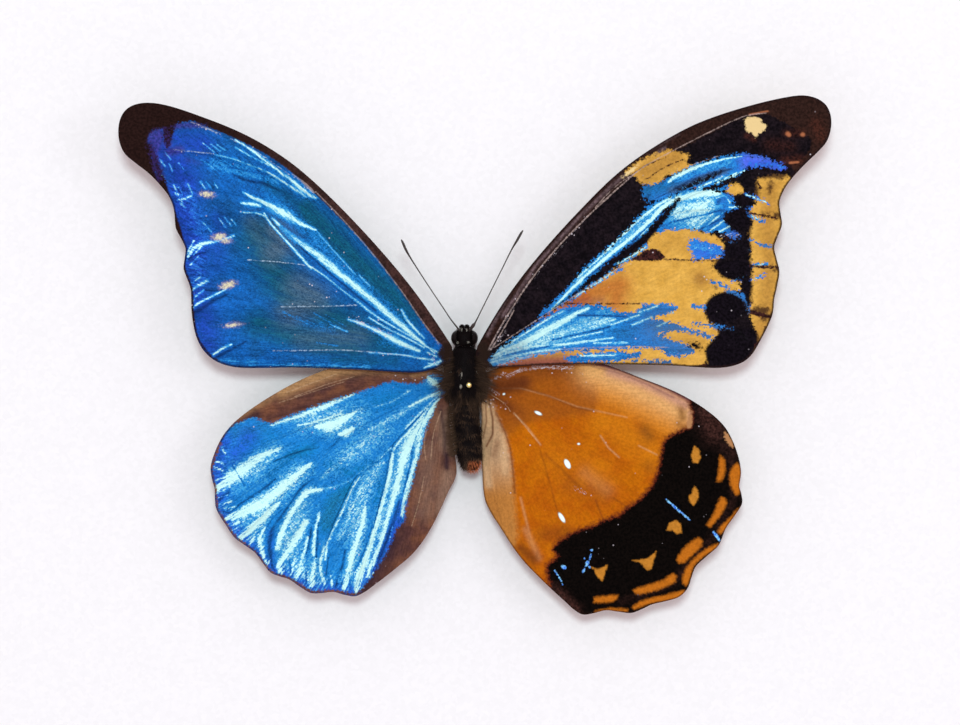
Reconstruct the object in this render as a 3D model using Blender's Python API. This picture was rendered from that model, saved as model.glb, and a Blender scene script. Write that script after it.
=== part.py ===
"""A spread butterfly on a clipped pin: its left wings are blue and its right wings orange, as in a specimen
that is half male and half female.

Every length in this file is in millimetres until MM turns it into metres. x and y are measured from the
pin's axis, with x to the specimen's right and y towards its head, and z from the surface that the pin's foot
and the legs stand on. The wings are thin sheets that rise a little from the thorax and sag between veins.
"""

import math

import bmesh
import bpy
import numpy as np
from mathutils import Vector, geometry

MM = 0.001  # metres in a millimetre

# Driving dimensions
GAP = 0.12  # between a piece and its neighbour
WING_THICKNESS = 0.25
FOREWING_ROOT_HEIGHT = 6.0  # the wing's upper face where it leaves the thorax
HINDWING_ROOT_HEIGHT = 4.75
FOREWING_RISE = 2.0  # from the root to the tip
HINDWING_RISE = 0.9
RISE_BEND = 1.4  # above 1, a wing leaves the body flat and rises more towards its tip
SAG_DEPTH = 0.34  # of the membrane between two veins
SAG_REACH = 1.5  # distance from a vein at which most of that depth is reached
VEIN_HEIGHT = 0.12  # of a vein above the membrane beside it
VEIN_HALF_WIDTH = 0.3
FLAT_ROOT, FULL_RELIEF = 0.04, 0.3  # shares of a wing's length between which its relief sets in
INNER_MARGIN_DROP = 1.25  # a hindwing's inner margin turns down beside the abdomen
DROP_STARTS, DROP_ENDS = 5.0, 2.2  # distances from the body's middle between which it turns down
DROP_FRONT, DROP_REAR = -2.2, -5.0  # y between which the turn sets in
PIN_RADIUS = 0.22
PIN_HEAD_RADIUS = 0.4
PIN_HEAD_THICKNESS = 0.55
PIN_HEIGHT = 9.2
ABDOMEN_SEGMENTS = 7

# Spacing of the mesh
SPLINE_STEPS = 2  # outline points for each stretch between two given points
VEIN_STEP = 2.2
FILL_STEP = 2.2
EDGE_CLEARANCE = 0.85  # between a filling point and the outline or a vein
BODY_SIDES = 20
BODY_STEP = 0.75
LIMB_SIDES = 6
PALP_SIDES = 8
PIN_SIDES = 16

# A wing's outline starts at the front of its root, follows the front edge to the tip, comes down the
# scalloped outer margin and returns along the rear edge. Each vein runs from the root to the margin.
WINGS = {
    "left_forewing": {
        "root": (-3.0, 3.8),
        "height": FOREWING_ROOT_HEIGHT,
        "rise": FOREWING_RISE,
        "drop": 0.0,
        "outline": [
            (-2.4, 5.2), (-6.0, 10.5), (-10.2, 15.7), (-15.7, 21.6), (-21.0, 26.4), (-26.4, 29.8),
            (-31.9, 32.1), (-36.6, 33.6), (-39.6, 33.7), (-41.4, 32.6), (-42.0, 30.3), (-41.2, 27.7),
            (-38.4, 25.4), (-36.0, 22.7), (-35.3, 20.6), (-35.1, 18.7), (-34.0, 16.4), (-34.2, 14.0),
            (-33.4, 11.6), (-33.25, 8.9), (-32.7, 5.8), (-31.0, 3.3), (-27.7, 2.1), (-20.9, 2.1),
            (-12.6, 1.8), (-6.3, 1.5), (-3.4, 2.3), (-2.2, 2.6), (-1.85, 3.4), (-2.05, 4.4),
        ],
        "veins": {
            "subcosta": [
                (-3.2, 4.8), (-5.8, 8.2), (-10.0, 14.4), (-16.0, 20.4), (-21.0, 25.1), (-29.0, 29.9),
                (-35.5, 32.0),
            ],
            "radius": [(-19.5, 22.5), (-24.4, 25.7), (-29.4, 27.3), (-35.2, 28.1), (-41.3, 28.3)],
            "media_1": [(-25.2, 22.3), (-30.0, 24.6), (-35.0, 25.6), (-38.9, 25.9)],
            "media_2": [(-25.2, 22.3), (-30.0, 22.6), (-35.9, 22.6)],
            "media_3": [(-23.9, 20.0), (-25.2, 20.5), (-29.0, 20.6), (-35.2, 19.7)],
            "cubitus_1": [(-18.4, 14.0), (-21.0, 14.5), (-27.2, 14.9), (-34.15, 14.0)],
            "cubitus_2": [(-13.2, 9.5), (-19.5, 9.4), (-26.0, 9.1), (-33.2, 8.9)],
            "cell": [(-3.4, 3.7), (-8.8, 6.5), (-13.2, 9.5), (-18.4, 14.0), (-22.5, 18.5), (-25.2, 22.3)],
            "anal": [(-3.6, 3.1), (-9.9, 3.7), (-19.5, 4.1), (-26.0, 4.3), (-32.2, 4.7)],
        },
    },
    "right_forewing": {
        "root": (2.0, 3.8),
        "height": FOREWING_ROOT_HEIGHT,
        "rise": FOREWING_RISE,
        "drop": 0.0,
        "outline": [
            (1.3, 5.2), (3.6, 9.1), (6.5, 13.2), (10.0, 17.4), (13.9, 21.6), (17.6, 25.2), (21.8, 28.3),
            (27.0, 31.2), (32.7, 33.2), (38.1, 34.5), (40.8, 34.6), (42.7, 33.6), (43.4, 31.6), (42.8, 29.1),
            (40.6, 26.8), (38.4, 24.4), (37.2, 21.9), (37.5, 19.2), (36.6, 16.5), (37.2, 13.6), (36.6, 10.3),
            (36.3, 8.2), (34.8, 5.1), (33.1, 2.9), (29.9, 2.05), (24.2, 2.35), (15.7, 2.5), (8.6, 2.4),
            (3.3, 2.1), (1.3, 2.5), (0.8, 3.4), (0.95, 4.4),
        ],
        "veins": {
            "subcosta": [
                (2.0, 4.6), (5.8, 9.8), (11.5, 17.2), (17.1, 22.8), (23.6, 27.6), (28.5, 30.2), (35.8, 32.7),
            ],
            "radius": [(20.0, 23.6), (24.2, 25.2), (30.1, 27.2), (35.5, 27.4), (41.0, 27.2)],
            "media_1": [(25.0, 22.4), (29.5, 24.9), (34.0, 25.2), (38.9, 25.0)],
            "media_2": [(25.0, 22.4), (30.5, 22.6), (37.3, 22.3)],
            "media_3": [(23.7, 20.3), (28.0, 20.9), (33.0, 20.7), (37.35, 20.1)],
            "cubitus_1": [(18.8, 14.8), (23.6, 15.1), (29.0, 14.9), (37.1, 14.1)],
            "cubitus_2": [(10.9, 9.6), (16.0, 9.8), (25.0, 9.6), (36.4, 8.8)],
            "cell": [(2.4, 3.8), (5.8, 6.0), (10.9, 9.6), (16.0, 12.9), (21.7, 17.9), (25.0, 22.4)],
            "anal": [(2.4, 3.2), (10.0, 4.3), (19.0, 4.6), (27.0, 4.2), (34.3, 4.4)],
        },
    },
    "left_hindwing": {
        "root": (-3.2, -0.3),
        "height": HINDWING_ROOT_HEIGHT,
        "rise": HINDWING_RISE,
        "drop": INNER_MARGIN_DROP,
        "outline": [
            (-2.3, 0.9), (-5.5, 2.4), (-10.0, 3.3), (-14.0, 2.8), (-18.9, 1.2), (-23.1, -0.9), (-27.3, -3.7),
            (-29.7, -6.3), (-31.05, -9.8), (-30.6, -12.5), (-30.4, -14.8), (-29.2, -16.9), (-28.0, -18.5),
            (-25.7, -20.2), (-23.9, -22.5), (-21.6, -23.4), (-19.0, -25.0), (-16.3, -24.9), (-13.7, -25.4),
            (-11.3, -24.0), (-8.5, -21.8), (-6.5, -20.0), (-4.5, -17.1), (-2.5, -12.9), (-1.5, -10.5),
            (-2.0, -7.0), (-2.4, -3.9), (-2.35, -1.5),
        ],
        "veins": {
            "subcosta": [(-3.4, 0.5), (-9.0, 1.3), (-16.0, -0.2), (-24.0, -3.4), (-29.6, -6.6)],
            "radius": [(-6.0, -0.7), (-13.3, -2.8), (-20.0, -5.2), (-26.5, -8.0), (-31.0, -10.2)],
            "media_1": [(-13.3, -4.6), (-17.6, -6.6), (-22.5, -10.0), (-27.4, -13.2), (-30.4, -14.7)],
            "media_2": [(-8.5, -2.6), (-15.4, -6.3), (-19.2, -9.9), (-24.0, -14.9), (-27.9, -18.4)],
            "media_3": [(-15.0, -8.4), (-17.6, -10.2), (-19.9, -13.0), (-22.6, -17.2), (-23.8, -22.4)],
            "cubitus_1": [(-13.3, -10.8), (-14.8, -14.0), (-17.2, -19.4), (-18.9, -24.8)],
            "cubitus_2": [(-9.1, -7.5), (-9.8, -10.0), (-10.9, -15.9), (-12.4, -21.5), (-13.6, -25.2)],
            "cell": [(-3.7, -0.9), (-5.6, -2.6), (-9.1, -7.5), (-13.3, -10.8)],
            "anal_1": [(-3.4, -1.2), (-5.2, -6.0), (-6.8, -12.5), (-8.4, -21.6)],
            "anal_2": [(-2.9, -1.9), (-3.5, -7.0), (-4.5, -13.0), (-5.3, -18.0)],
        },
    },
    "right_hindwing": {
        "root": (2.2, -0.3),
        "height": HINDWING_ROOT_HEIGHT,
        "rise": HINDWING_RISE,
        "drop": INNER_MARGIN_DROP,
        "outline": [
            (1.5, 0.9), (4.5, 2.4), (10.0, 3.5), (15.0, 2.9), (20.8, 0.8), (25.0, -0.9), (28.4, -2.9),
            (30.8, -5.1), (32.2, -8.0), (32.7, -10.5), (32.5, -12.2), (32.8, -14.3), (30.9, -17.2),
            (29.9, -19.4), (27.3, -21.8), (26.4, -24.2), (25.0, -25.6), (22.0, -26.4), (19.5, -27.4),
            (16.5, -27.1), (13.7, -27.6), (11.5, -26.0), (8.3, -23.0), (6.0, -20.5), (3.8, -17.2),
            (2.0, -14.1), (1.6, -10.7), (1.4, -6.7), (1.5, -3.5), (1.3, -1.5),
        ],
        "veins": {
            "subcosta": [(2.6, 0.5), (9.0, 1.9), (17.0, 0.4), (25.0, -2.6), (31.0, -6.0)],
            "radius": [(5.0, -0.3), (11.4, -1.9), (18.4, -3.6), (25.5, -6.5), (32.5, -9.8)],
            "media_1": [(13.3, -4.0), (18.0, -6.2), (24.0, -9.4), (32.6, -14.0)],
            "media_2": [(9.0, -3.2), (14.6, -4.8), (17.9, -8.7), (23.5, -13.6), (29.8, -19.2)],
            "media_3": [(13.7, -9.0), (16.2, -11.8), (20.4, -17.4), (25.4, -25.0)],
            "cubitus_1": [(12.8, -11.3), (14.6, -14.0), (17.0, -20.0), (19.5, -27.2)],
            "cubitus_2": [(8.0, -6.6), (9.6, -11.0), (11.2, -17.0), (13.6, -27.3)],
            "cell": [(2.8, -0.9), (5.5, -3.4), (8.6, -7.3), (12.8, -11.3)],
            "anal_1": [(2.6, -1.2), (4.6, -6.0), (6.2, -13.0), (8.2, -22.6)],
            "anal_2": [(2.2, -1.9), (3.4, -7.0), (4.2, -13.0), (5.2, -19.0)],
        },
    },
}

# A body's cross-sections from front to back: y, centre x, half width, top z, bottom z
HEAD = [
    (6.55, -0.57, 0.6, 5.2, 3.9), (6.35, -0.57, 0.95, 5.75, 3.5), (5.8, -0.56, 1.25, 6.15, 3.15),
    (5.2, -0.55, 1.2, 6.1, 3.2), (4.75, -0.55, 0.9, 5.8, 3.6),
]
THORAX = [
    (4.6, -0.55, 1.2, 6.0, 3.0), (4.25, -0.55, 1.6, 6.5, 2.4), (3.0, -0.52, 2.25, 7.0, 1.85),
    (1.4, -0.5, 2.65, 7.2, 1.7), (-0.2, -0.47, 2.55, 7.05, 1.75), (-1.6, -0.42, 2.1, 6.65, 2.15),
    (-2.3, -0.36, 1.6, 6.15, 2.7),
]
ABDOMEN_FRONT = (-2.42, -0.35, 1.55, 6.2, 2.75)
ABDOMEN_MIDDLE = (-6.4, -0.12, 1.62, 5.8, 2.7)
ABDOMEN_REAR = (-10.3, 0.22, 1.45, 5.2, 2.9)
ABDOMEN_TIP = 0.5  # the size of the last cross-section, as a share of the one given above
ABDOMEN_ROUNDING = 0.22  # share of the abdomen's length that rounds off to the tip
CREASE = 0.93  # the body's size at a crease between two segments, as a share
CREASE_PLACES = (0.0, 0.28, 0.72)  # of a segment's cross-sections; the first one is the crease
TUFTS = 0.04  # how far the fur's tufts stand out, as a share of the radius

# A wing's root stands in a socket in the side of the thorax
SOCKET_Y = {"forewing": (2.0, 5.6), "hindwing": (-2.8, 1.25)}
SOCKET_DEPTH = {"forewing": 1.15, "hindwing": 1.4}  # from the middle of the thorax to the socket's end
SOCKET_HEIGHT = 0.8
SOCKET_OUTSIDE = 5.0  # clear of the thorax

# A limb's centre line, and its radius at each point. x is measured from the pin's axis for an antenna, and
# outwards from the middle of the thorax or head for a leg or a palp, which the other side mirrors.
THORAX_X = -0.5
LEGS = {
    "foreleg": [
        ((0.7, 3.4, 1.7), 0.26), ((0.95, 4.2, 1.85), 0.2), ((1.1, 4.95, 2.05), 0.16),
        ((1.15, 5.35, 1.95), 0.14), ((1.12, 5.4, 1.65), 0.13), ((1.05, 5.1, 1.35), 0.12),
        ((0.98, 4.6, 1.15), 0.1),
    ],
    "midleg": [
        ((1.0, 1.6, 1.45), 0.32), ((1.7, 2.1, 1.6), 0.34), ((3.6, 3.2, 3.0), 0.26), ((4.2, 3.5, 2.9), 0.22),
        ((5.2, 4.2, 0.9), 0.18), ((5.5, 4.5, 0.3), 0.18), ((6.0, 5.1, 0.16), 0.17), ((7.0, 6.2, 0.16), 0.15),
    ],
    "hindleg": [
        ((0.95, -0.3, 1.45), 0.32), ((1.6, -0.8, 1.6), 0.34), ((3.6, -2.4, 2.9), 0.26),
        ((4.1, -2.9, 2.8), 0.22), ((5.2, -4.3, 0.9), 0.18), ((5.6, -4.8, 0.3), 0.18),
        ((6.0, -5.5, 0.16), 0.17), ((6.8, -7.0, 0.16), 0.15),
    ],
}
ANTENNAE = {
    "left_antenna": [
        ((-1.1, 6.5, 5.65), 0.12), ((-2.2, 7.9, 6.3), 0.08), ((-3.0, 9.1, 6.6), 0.07),
        ((-5.0, 12.1, 7.2), 0.07), ((-6.8, 14.9, 7.7), 0.09), ((-7.5, 16.1, 7.9), 0.15),
        ((-7.9, 17.0, 8.1), 0.15), ((-8.1, 17.4, 8.2), 0.08),
    ],
    "right_antenna": [
        ((0.0, 6.5, 5.55), 0.13), ((0.5, 7.15, 6.0), 0.22), ((0.85, 7.7, 6.2), 0.09),
        ((2.0, 10.0, 6.8), 0.07), ((4.0, 14.0, 7.5), 0.07), ((5.1, 16.2, 7.9), 0.09),
        ((5.75, 17.3, 8.1), 0.15), ((6.2, 18.1, 8.2), 0.15), ((6.45, 18.5, 8.3), 0.08),
    ],
}
PALP = [
    ((0.3, 6.75, 3.7), 0.16), ((0.36, 6.95, 4.4), 0.26), ((0.3, 7.0, 5.1), 0.24), ((0.2, 7.05, 5.7), 0.1),
]
HEAD_X = -0.55
HEAD_HALF_WIDTH = 0.86  # to the flat cheek that carries an eye
EYE_CENTRE = (0.8, 5.65, 4.75)  # x from the middle of the head
EYE_RADII = (0.82, 0.95, 1.2)
TONGUE_CENTRE = (-0.56, 6.15, 2.48)
TONGUE_START = math.radians(80)
TONGUE_TURNS = 1.75
TONGUE_POINTS = 23
TONGUE_RADII = (0.68, 0.2)  # of the coil, outside and inside
TONGUE_THICKNESS = 0.1

COLOURS = {  # base colour, roughness, metallic
    "blue_wing": ((0.02, 0.28, 0.72), 0.35, 0.6),
    "orange_wing": ((0.72, 0.33, 0.05), 0.5, 0.0),
    "dark_fur": ((0.035, 0.022, 0.016), 0.9, 0.0),
    "eye": ((0.012, 0.01, 0.01), 0.2, 0.0),
    "leg": ((0.06, 0.035, 0.022), 0.6, 0.0),
    "brass": ((0.78, 0.6, 0.26), 0.25, 1.0),
}


def clear_scene():
    for obj in list(bpy.data.objects):
        bpy.data.objects.remove(obj)


def material(name):
    """The material of that name, made the first time it is asked for."""
    if name in bpy.data.materials:
        return bpy.data.materials[name]
    colour, roughness, metallic = COLOURS[name]
    made = bpy.data.materials.new(name)
    made.use_nodes = True
    shader = made.node_tree.nodes["Principled BSDF"]
    shader.inputs["Base Color"].default_value = (*colour, 1.0)
    shader.inputs["Roughness"].default_value = roughness
    shader.inputs["Metallic"].default_value = metallic
    made.diffuse_color = (*colour, 1.0)
    return made


def add_object(name, mesh, finish, smooth_angle=50):
    """Scales the mesh from millimetres to metres, and adds it to the scene as an object."""
    for vertex in mesh.vertices:
        vertex.co *= MM
    mesh.shade_smooth()
    mesh.set_sharp_from_angle(angle=math.radians(smooth_angle))
    mesh.materials.append(material(finish))
    obj = bpy.data.objects.new(name, mesh)
    bpy.context.scene.collection.objects.link(obj)
    return obj


def mesh_of(name, bm):
    """The closed mesh that bm holds, its faces turned outwards."""
    mesh = bpy.data.meshes.new(name)
    bmesh.ops.recalc_face_normals(bm, faces=bm.faces)
    if bm.calc_volume(signed=True) < 0:
        bmesh.ops.reverse_faces(bm, faces=bm.faces)
    bm.to_mesh(mesh)
    bm.free()
    return mesh


# Curves through given points


def closed_spline(points, steps):
    """Points on a smooth closed curve through the given ones, steps of them for each stretch."""
    p = np.array(points, float)
    before, after, beyond = np.roll(p, 1, 0), np.roll(p, -1, 0), np.roll(p, -2, 0)
    made = []
    for t in np.arange(steps) / steps:
        square = (2 * before - 5 * p + 4 * after - beyond) * t**2
        cube = (3 * p - before - 3 * after + beyond) * t**3
        made.append(0.5 * (2 * p + (after - before) * t + square + cube))
    return np.stack(made, 1).reshape(-1, p.shape[1])


def open_spline(points, step):
    """Points about step apart on a smooth curve through the given ones, both ends included."""
    p = np.array(points, float)
    padded = np.vstack([2 * p[0] - p[1], p, 2 * p[-1] - p[-2]])
    made = []
    for a, b, c, d in zip(padded, padded[1:], padded[2:], padded[3:]):
        count = max(1, round(np.linalg.norm(c - b) / step))
        for t in np.arange(count) / count:
            square = (2 * a - 5 * b + 4 * c - d) * t**2
            cube = (3 * b - a - 3 * c + d) * t**3
            made.append(0.5 * (2 * b + (c - a) * t + square + cube))
    return np.array([*made, p[-1]])


def distance_to(points, line):
    """How far each point is from a line of joined straight stretches."""
    nearest = np.full(len(points), np.inf)
    for a, b in zip(line[:-1], line[1:]):
        along = b - a
        share = np.clip((points - a) @ along / max(along @ along, 1e-9), 0, 1)
        nearest = np.minimum(nearest, np.linalg.norm(points - a - share[:, None] * along, axis=1))
    return nearest


def smooth_step(low, high, values):
    t = np.clip((values - low) / (high - low), 0, 1)
    return t * t * (3 - 2 * t)


def inside(points, outline):
    """Which points the closed outline holds."""
    x, y = points[:, 0], points[:, 1]
    held = np.zeros(len(points), bool)
    for (ax, ay), (bx, by) in zip(outline, np.roll(outline, -1, 0)):
        crosses = (ay > y) != (by > y)
        held ^= crosses & (x < (bx - ax) * (y - ay) / (by - ay if by != ay else 1) + ax)
    return held


# Wings


def wing_height(points, wing, veins):
    """The height of a wing's upper face: it rises towards the tip, sags between the veins and, on a
    hindwing, turns down along the inner margin."""
    root = np.array(wing["root"])
    from_root = np.linalg.norm(points - root, axis=1)
    reach = from_root / from_root.max()
    to_vein = np.min([distance_to(points, line) for line in veins], axis=0)
    relief = smooth_step(FLAT_ROOT, FULL_RELIEF, reach)
    sag = SAG_DEPTH * (1 - np.exp(-((to_vein / SAG_REACH) ** 2))) * relief
    ridge = VEIN_HEIGHT * np.clip(1 - to_vein / VEIN_HALF_WIDTH, 0, 1) * relief
    from_body = np.abs(points[:, 0] - THORAX_X)
    turn = smooth_step(DROP_STARTS, DROP_ENDS, from_body) * smooth_step(DROP_FRONT, DROP_REAR, points[:, 1])
    return wing["height"] + wing["rise"] * reach**RISE_BEND - sag + ridge - wing["drop"] * turn


def fill_points(outline, veins):
    """A staggered grid of points inside the outline, clear of it and of the veins."""
    low, high = outline.min(0), outline.max(0)
    rows = np.arange(low[1], high[1], FILL_STEP * math.sqrt(3) / 2)
    grid = []
    for i, y in enumerate(rows):
        first = low[0] + (i % 2) * FILL_STEP / 2
        grid += [(x, y) for x in np.arange(first, high[0], FILL_STEP)]
    grid = np.array(grid)
    closed = np.vstack([outline, outline[:1]])
    clear = np.min([distance_to(grid, line) for line in [closed, *veins]], axis=0) > EDGE_CLEARANCE
    return grid[inside(grid, outline) & clear]


def wing_surface(wing):
    """The wing's upper face as a triangle mesh, with an edge along every vein."""
    outline = closed_spline(wing["outline"], SPLINE_STEPS)
    veins = [open_spline(points, VEIN_STEP) for points in wing["veins"].values()]
    closed = np.vstack([outline, outline[:1]])
    flat = [Vector(p) for p in outline]
    edges = [(i, (i + 1) % len(outline)) for i in range(len(outline))]
    for line in veins:
        kept = line[inside(line, outline) & (distance_to(line, closed) > EDGE_CLEARANCE / 2)]
        edges += [(len(flat) + i, len(flat) + i + 1) for i in range(len(kept) - 1)]
        flat += [Vector(p) for p in kept]
    flat += [Vector(p) for p in fill_points(outline, veins)]
    corners, _, triangles, *_ = geometry.delaunay_2d_cdt(flat, edges, [range(len(outline))], 1, 1e-4)
    places = np.array(corners)
    heights = wing_height(places, wing, veins)
    bm = bmesh.new()
    made = [bm.verts.new((x, y, z)) for (x, y), z in zip(places, heights)]
    for triangle in triangles:
        bm.faces.new([made[i] for i in triangle])
    bmesh.ops.recalc_face_normals(bm, faces=bm.faces)
    if sum(face.normal.z for face in bm.faces) < 0:
        bmesh.ops.reverse_faces(bm, faces=bm.faces)
    return bm


def add_wing(name, wing):
    bm = wing_surface(wing)
    mesh = bpy.data.meshes.new(name)
    bm.to_mesh(mesh)
    bm.free()
    obj = add_object(name, mesh, "blue_wing" if name.startswith("left") else "orange_wing", 80)
    shell = obj.modifiers.new("thickness", "SOLIDIFY")
    shell.thickness = WING_THICKNESS * MM
    shell.offset = -1
    return obj


# Body


def ring_points(station):
    """One cross-section of the body: an ellipse, with tufts that stand out a little from it."""
    y, x, half_width, top, bottom = station
    middle, half_height = (top + bottom) / 2, (top - bottom) / 2
    made = []
    for i in range(BODY_SIDES):
        angle = math.tau * i / BODY_SIDES
        radius = 1 + TUFTS * math.sin(3 * angle + 4 * y) * math.sin(5 * angle - 2.5 * y)
        across, up = radius * math.cos(angle), radius * math.sin(angle)
        made.append((x + half_width * across, y, middle + half_height * up))
    return made


def skin(bm, rings):
    """Faces between each ring of vertices and the next, and a flat face on the first and the last ring."""
    for first, second in zip(rings, rings[1:]):
        for i in range(len(first)):
            j = (i + 1) % len(first)
            bm.faces.new((first[i], first[j], second[j], second[i]))
    bm.faces.new(rings[0])
    bm.faces.new(rings[-1])


def loft(stations):
    """A closed surface through the body's cross-sections."""
    bm = bmesh.new()
    skin(bm, [[bm.verts.new(point) for point in ring_points(station)] for station in stations])
    return bm


def slice_off(bm, point, normal):
    """Cuts away what lies in front of a plane, and closes the cut."""
    everything = bm.verts[:] + bm.edges[:] + bm.faces[:]
    bmesh.ops.bisect_plane(bm, geom=everything, plane_co=point, plane_no=normal, clear_outer=True)
    bmesh.ops.holes_fill(bm, edges=bm.edges)


def abdomen_stations():
    """Each segment swells between two shallow creases, and the last ones round off to a blunt tip."""
    profile = np.array([ABDOMEN_FRONT, ABDOMEN_MIDDLE, ABDOMEN_REAR])
    shares = [i + place for i in range(ABDOMEN_SEGMENTS) for place in CREASE_PLACES]
    stations = []
    for share in [*shares, ABDOMEN_SEGMENTS]:
        along = share / ABDOMEN_SEGMENTS
        y, x, half_width, top, bottom = (np.interp(along, (0, 0.5, 1), column) for column in profile.T)
        to_tip = max(0.0, 1 - (1 - along) / ABDOMEN_ROUNDING)
        size = ABDOMEN_TIP + (1 - ABDOMEN_TIP) * math.sqrt(1 - to_tip**2)
        if 0 < share < ABDOMEN_SEGMENTS and share == int(share):
            size *= CREASE
        middle, half_height = (top + bottom) / 2, (top - bottom) / 2
        stations.append((y, x, half_width * size, middle + half_height * size, middle - half_height * size))
    return stations


def cutter(name, low, high):
    """A box that the thorax is cut with, hidden in the render."""
    bm = bmesh.new()
    bmesh.ops.create_cube(bm, size=1.0)
    for vertex in bm.verts:
        vertex.co = Vector([a + (b - a) * (c + 0.5) for a, b, c in zip(low, high, vertex.co)])
    return hide(add_object(name, mesh_of(name, bm), "dark_fur"))


def hide(obj):
    obj.hide_render = True
    obj.display_type = "WIRE"
    return obj


def cut(obj, tool):
    boolean = obj.modifiers.new("cut_" + tool.name, "BOOLEAN")
    boolean.operation = "DIFFERENCE"
    boolean.object = tool


def turned(name, profile, sides):
    """A closed mesh from a profile of (radius, z) turned round the pin's axis, from the foot up."""
    bm = bmesh.new()
    corners = [bm.verts.new((radius, 0, z)) for radius, z in profile]
    edges = [bm.edges.new(pair) for pair in zip(corners, corners[1:])]
    bmesh.ops.spin(bm, geom=corners + edges, cent=(0, 0, 0), axis=(0, 0, 1), angle=math.tau, steps=sides)
    bmesh.ops.remove_doubles(bm, verts=bm.verts, dist=1e-4)
    return mesh_of(name, bm)


def add_thorax():
    surface = loft(open_spline(THORAX, BODY_STEP))
    thorax = add_object("thorax", mesh_of("thorax", surface), "dark_fur")
    for name, wing in WINGS.items():
        side = -1 if name.startswith("left") else 1
        kind = name.split("_")[1]
        inner = THORAX_X + side * SOCKET_DEPTH[kind]
        outer = THORAX_X + side * SOCKET_OUTSIDE
        x_low, x_high = sorted((inner, outer))
        y_low, y_high = SOCKET_Y[kind]
        z = wing["height"] - WING_THICKNESS / 2
        low, high = (x_low, y_low, z - SOCKET_HEIGHT / 2), (x_high, y_high, z + SOCKET_HEIGHT / 2)
        cut(thorax, cutter("socket_" + name, low, high))
    bore_radius, above = PIN_RADIUS + GAP, PIN_HEIGHT + 1
    bore = turned("bore", [(0, -1), (bore_radius, -1), (bore_radius, above), (0, above)], PIN_SIDES)
    cut(thorax, hide(add_object("pin_bore", bore, "dark_fur")))


def add_abdomen():
    add_object("abdomen", mesh_of("abdomen", loft(abdomen_stations())), "dark_fur")


def add_head():
    """The head has flat cheeks, which the eyes stand on."""
    surface = loft(open_spline(HEAD, BODY_STEP))
    for side in (-1, 1):
        slice_off(surface, (HEAD_X + side * HEAD_HALF_WIDTH, 0, 0), (side, 0, 0))
    add_object("head", mesh_of("head", surface), "dark_fur")


def add_eyes():
    """Each eye is most of a ball, with a flat back against the head's cheek."""
    for side, name in ((-1, "left_eye"), (1, "right_eye")):
        bm = bmesh.new()
        bmesh.ops.create_uvsphere(bm, u_segments=16, v_segments=10, radius=1.0)
        for vertex in bm.verts:
            vertex.co = [c * radius + middle for c, radius, middle in zip(vertex.co, EYE_RADII, EYE_CENTRE)]
        slice_off(bm, (HEAD_HALF_WIDTH + GAP, 0, 0), (-1, 0, 0))
        for vertex in bm.verts:
            vertex.co.x = HEAD_X + side * vertex.co.x
        add_object(name, mesh_of(name, bm), "eye")


# Limbs


def limb(name, joints, finish, sides=LIMB_SIDES, stand=False):
    """A tapered tube through the joints, flat where it stands on the surface."""
    centre = [Vector(point) for point, _ in joints]
    radii = [radius for _, radius in joints]
    across = (centre[1] - centre[0]).cross(Vector((0, 0, 1)))
    bm = bmesh.new()
    rings = []
    for i, (point, radius) in enumerate(zip(centre, radii)):
        ahead = centre[min(i + 1, len(centre) - 1)] - point
        behind = point - centre[max(i - 1, 0)]
        along = (ahead.normalized() + behind.normalized()).normalized()
        across = (across - across.dot(along) * along).normalized()
        upward = across.cross(along)
        ring = []
        for k in range(sides):
            angle = math.tau * (k + 0.5) / sides
            ring.append(bm.verts.new(point + radius * (across * math.cos(angle) + upward * math.sin(angle))))
        rings.append(ring)
    skin(bm, rings)
    if stand:
        slice_off(bm, (0, 0, 0), (0, 0, -1))
    return add_object(name, mesh_of(name, bm), finish)


def add_legs():
    for kind, joints in LEGS.items():
        for side, prefix in ((-1, "left_"), (1, "right_")):
            placed = [((THORAX_X + side * x, y, z), radius) for (x, y, z), radius in joints]
            limb(prefix + kind, placed, "leg", stand=kind != "foreleg")


def add_palps():
    for side, name in ((-1, "left_palp"), (1, "right_palp")):
        placed = [((HEAD_X + side * x, y, z), radius) for (x, y, z), radius in PALP]
        limb(name, placed, "dark_fur", PALP_SIDES)


def add_tongue():
    """The tongue is rolled up under the head, from its base at the head inwards."""
    outer, inner = TONGUE_RADII
    x, y, z = TONGUE_CENTRE
    joints = []
    for i in range(TONGUE_POINTS):
        share = i / (TONGUE_POINTS - 1)
        angle = TONGUE_START - math.tau * TONGUE_TURNS * share
        radius = outer + (inner - outer) * share
        joints.append(((x, y + radius * math.cos(angle), z + radius * math.sin(angle)), TONGUE_THICKNESS))
    limb("tongue", joints, "leg")


def add_pin():
    """A straight pin with a flat foot and a domed head."""
    half = PIN_HEAD_THICKNESS / 2
    profile = [(0, 0), (PIN_RADIUS, 0), (PIN_RADIUS, PIN_HEIGHT - PIN_HEAD_THICKNESS)]
    for degrees in (-60, -30, 0, 30, 60):
        angle = math.radians(degrees)
        profile.append((PIN_HEAD_RADIUS * math.cos(angle), PIN_HEIGHT - half + half * math.sin(angle)))
    profile.append((0, PIN_HEIGHT))
    add_object("pin", turned("pin", profile, PIN_SIDES), "brass", 35)


def main():
    clear_scene()
    for name, wing in WINGS.items():
        add_wing(name, wing)
    add_thorax()
    add_abdomen()
    add_head()
    add_eyes()
    add_palps()
    add_tongue()
    for name, joints in ANTENNAE.items():
        limb(name, joints, "leg")
    add_legs()
    add_pin()


main()
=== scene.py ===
"""The looks of the spread butterfly: fine wings with their scales, veins and markings, fur, eyes, antennae,
legs and a brass pin, around the fixed CAD model.

Lengths are in millimetres until MM turns them into metres. x and y are measured from the pin's axis, x to
the specimen's right and y towards its head, and z from the surface that it stands on.
"""

import math

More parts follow.
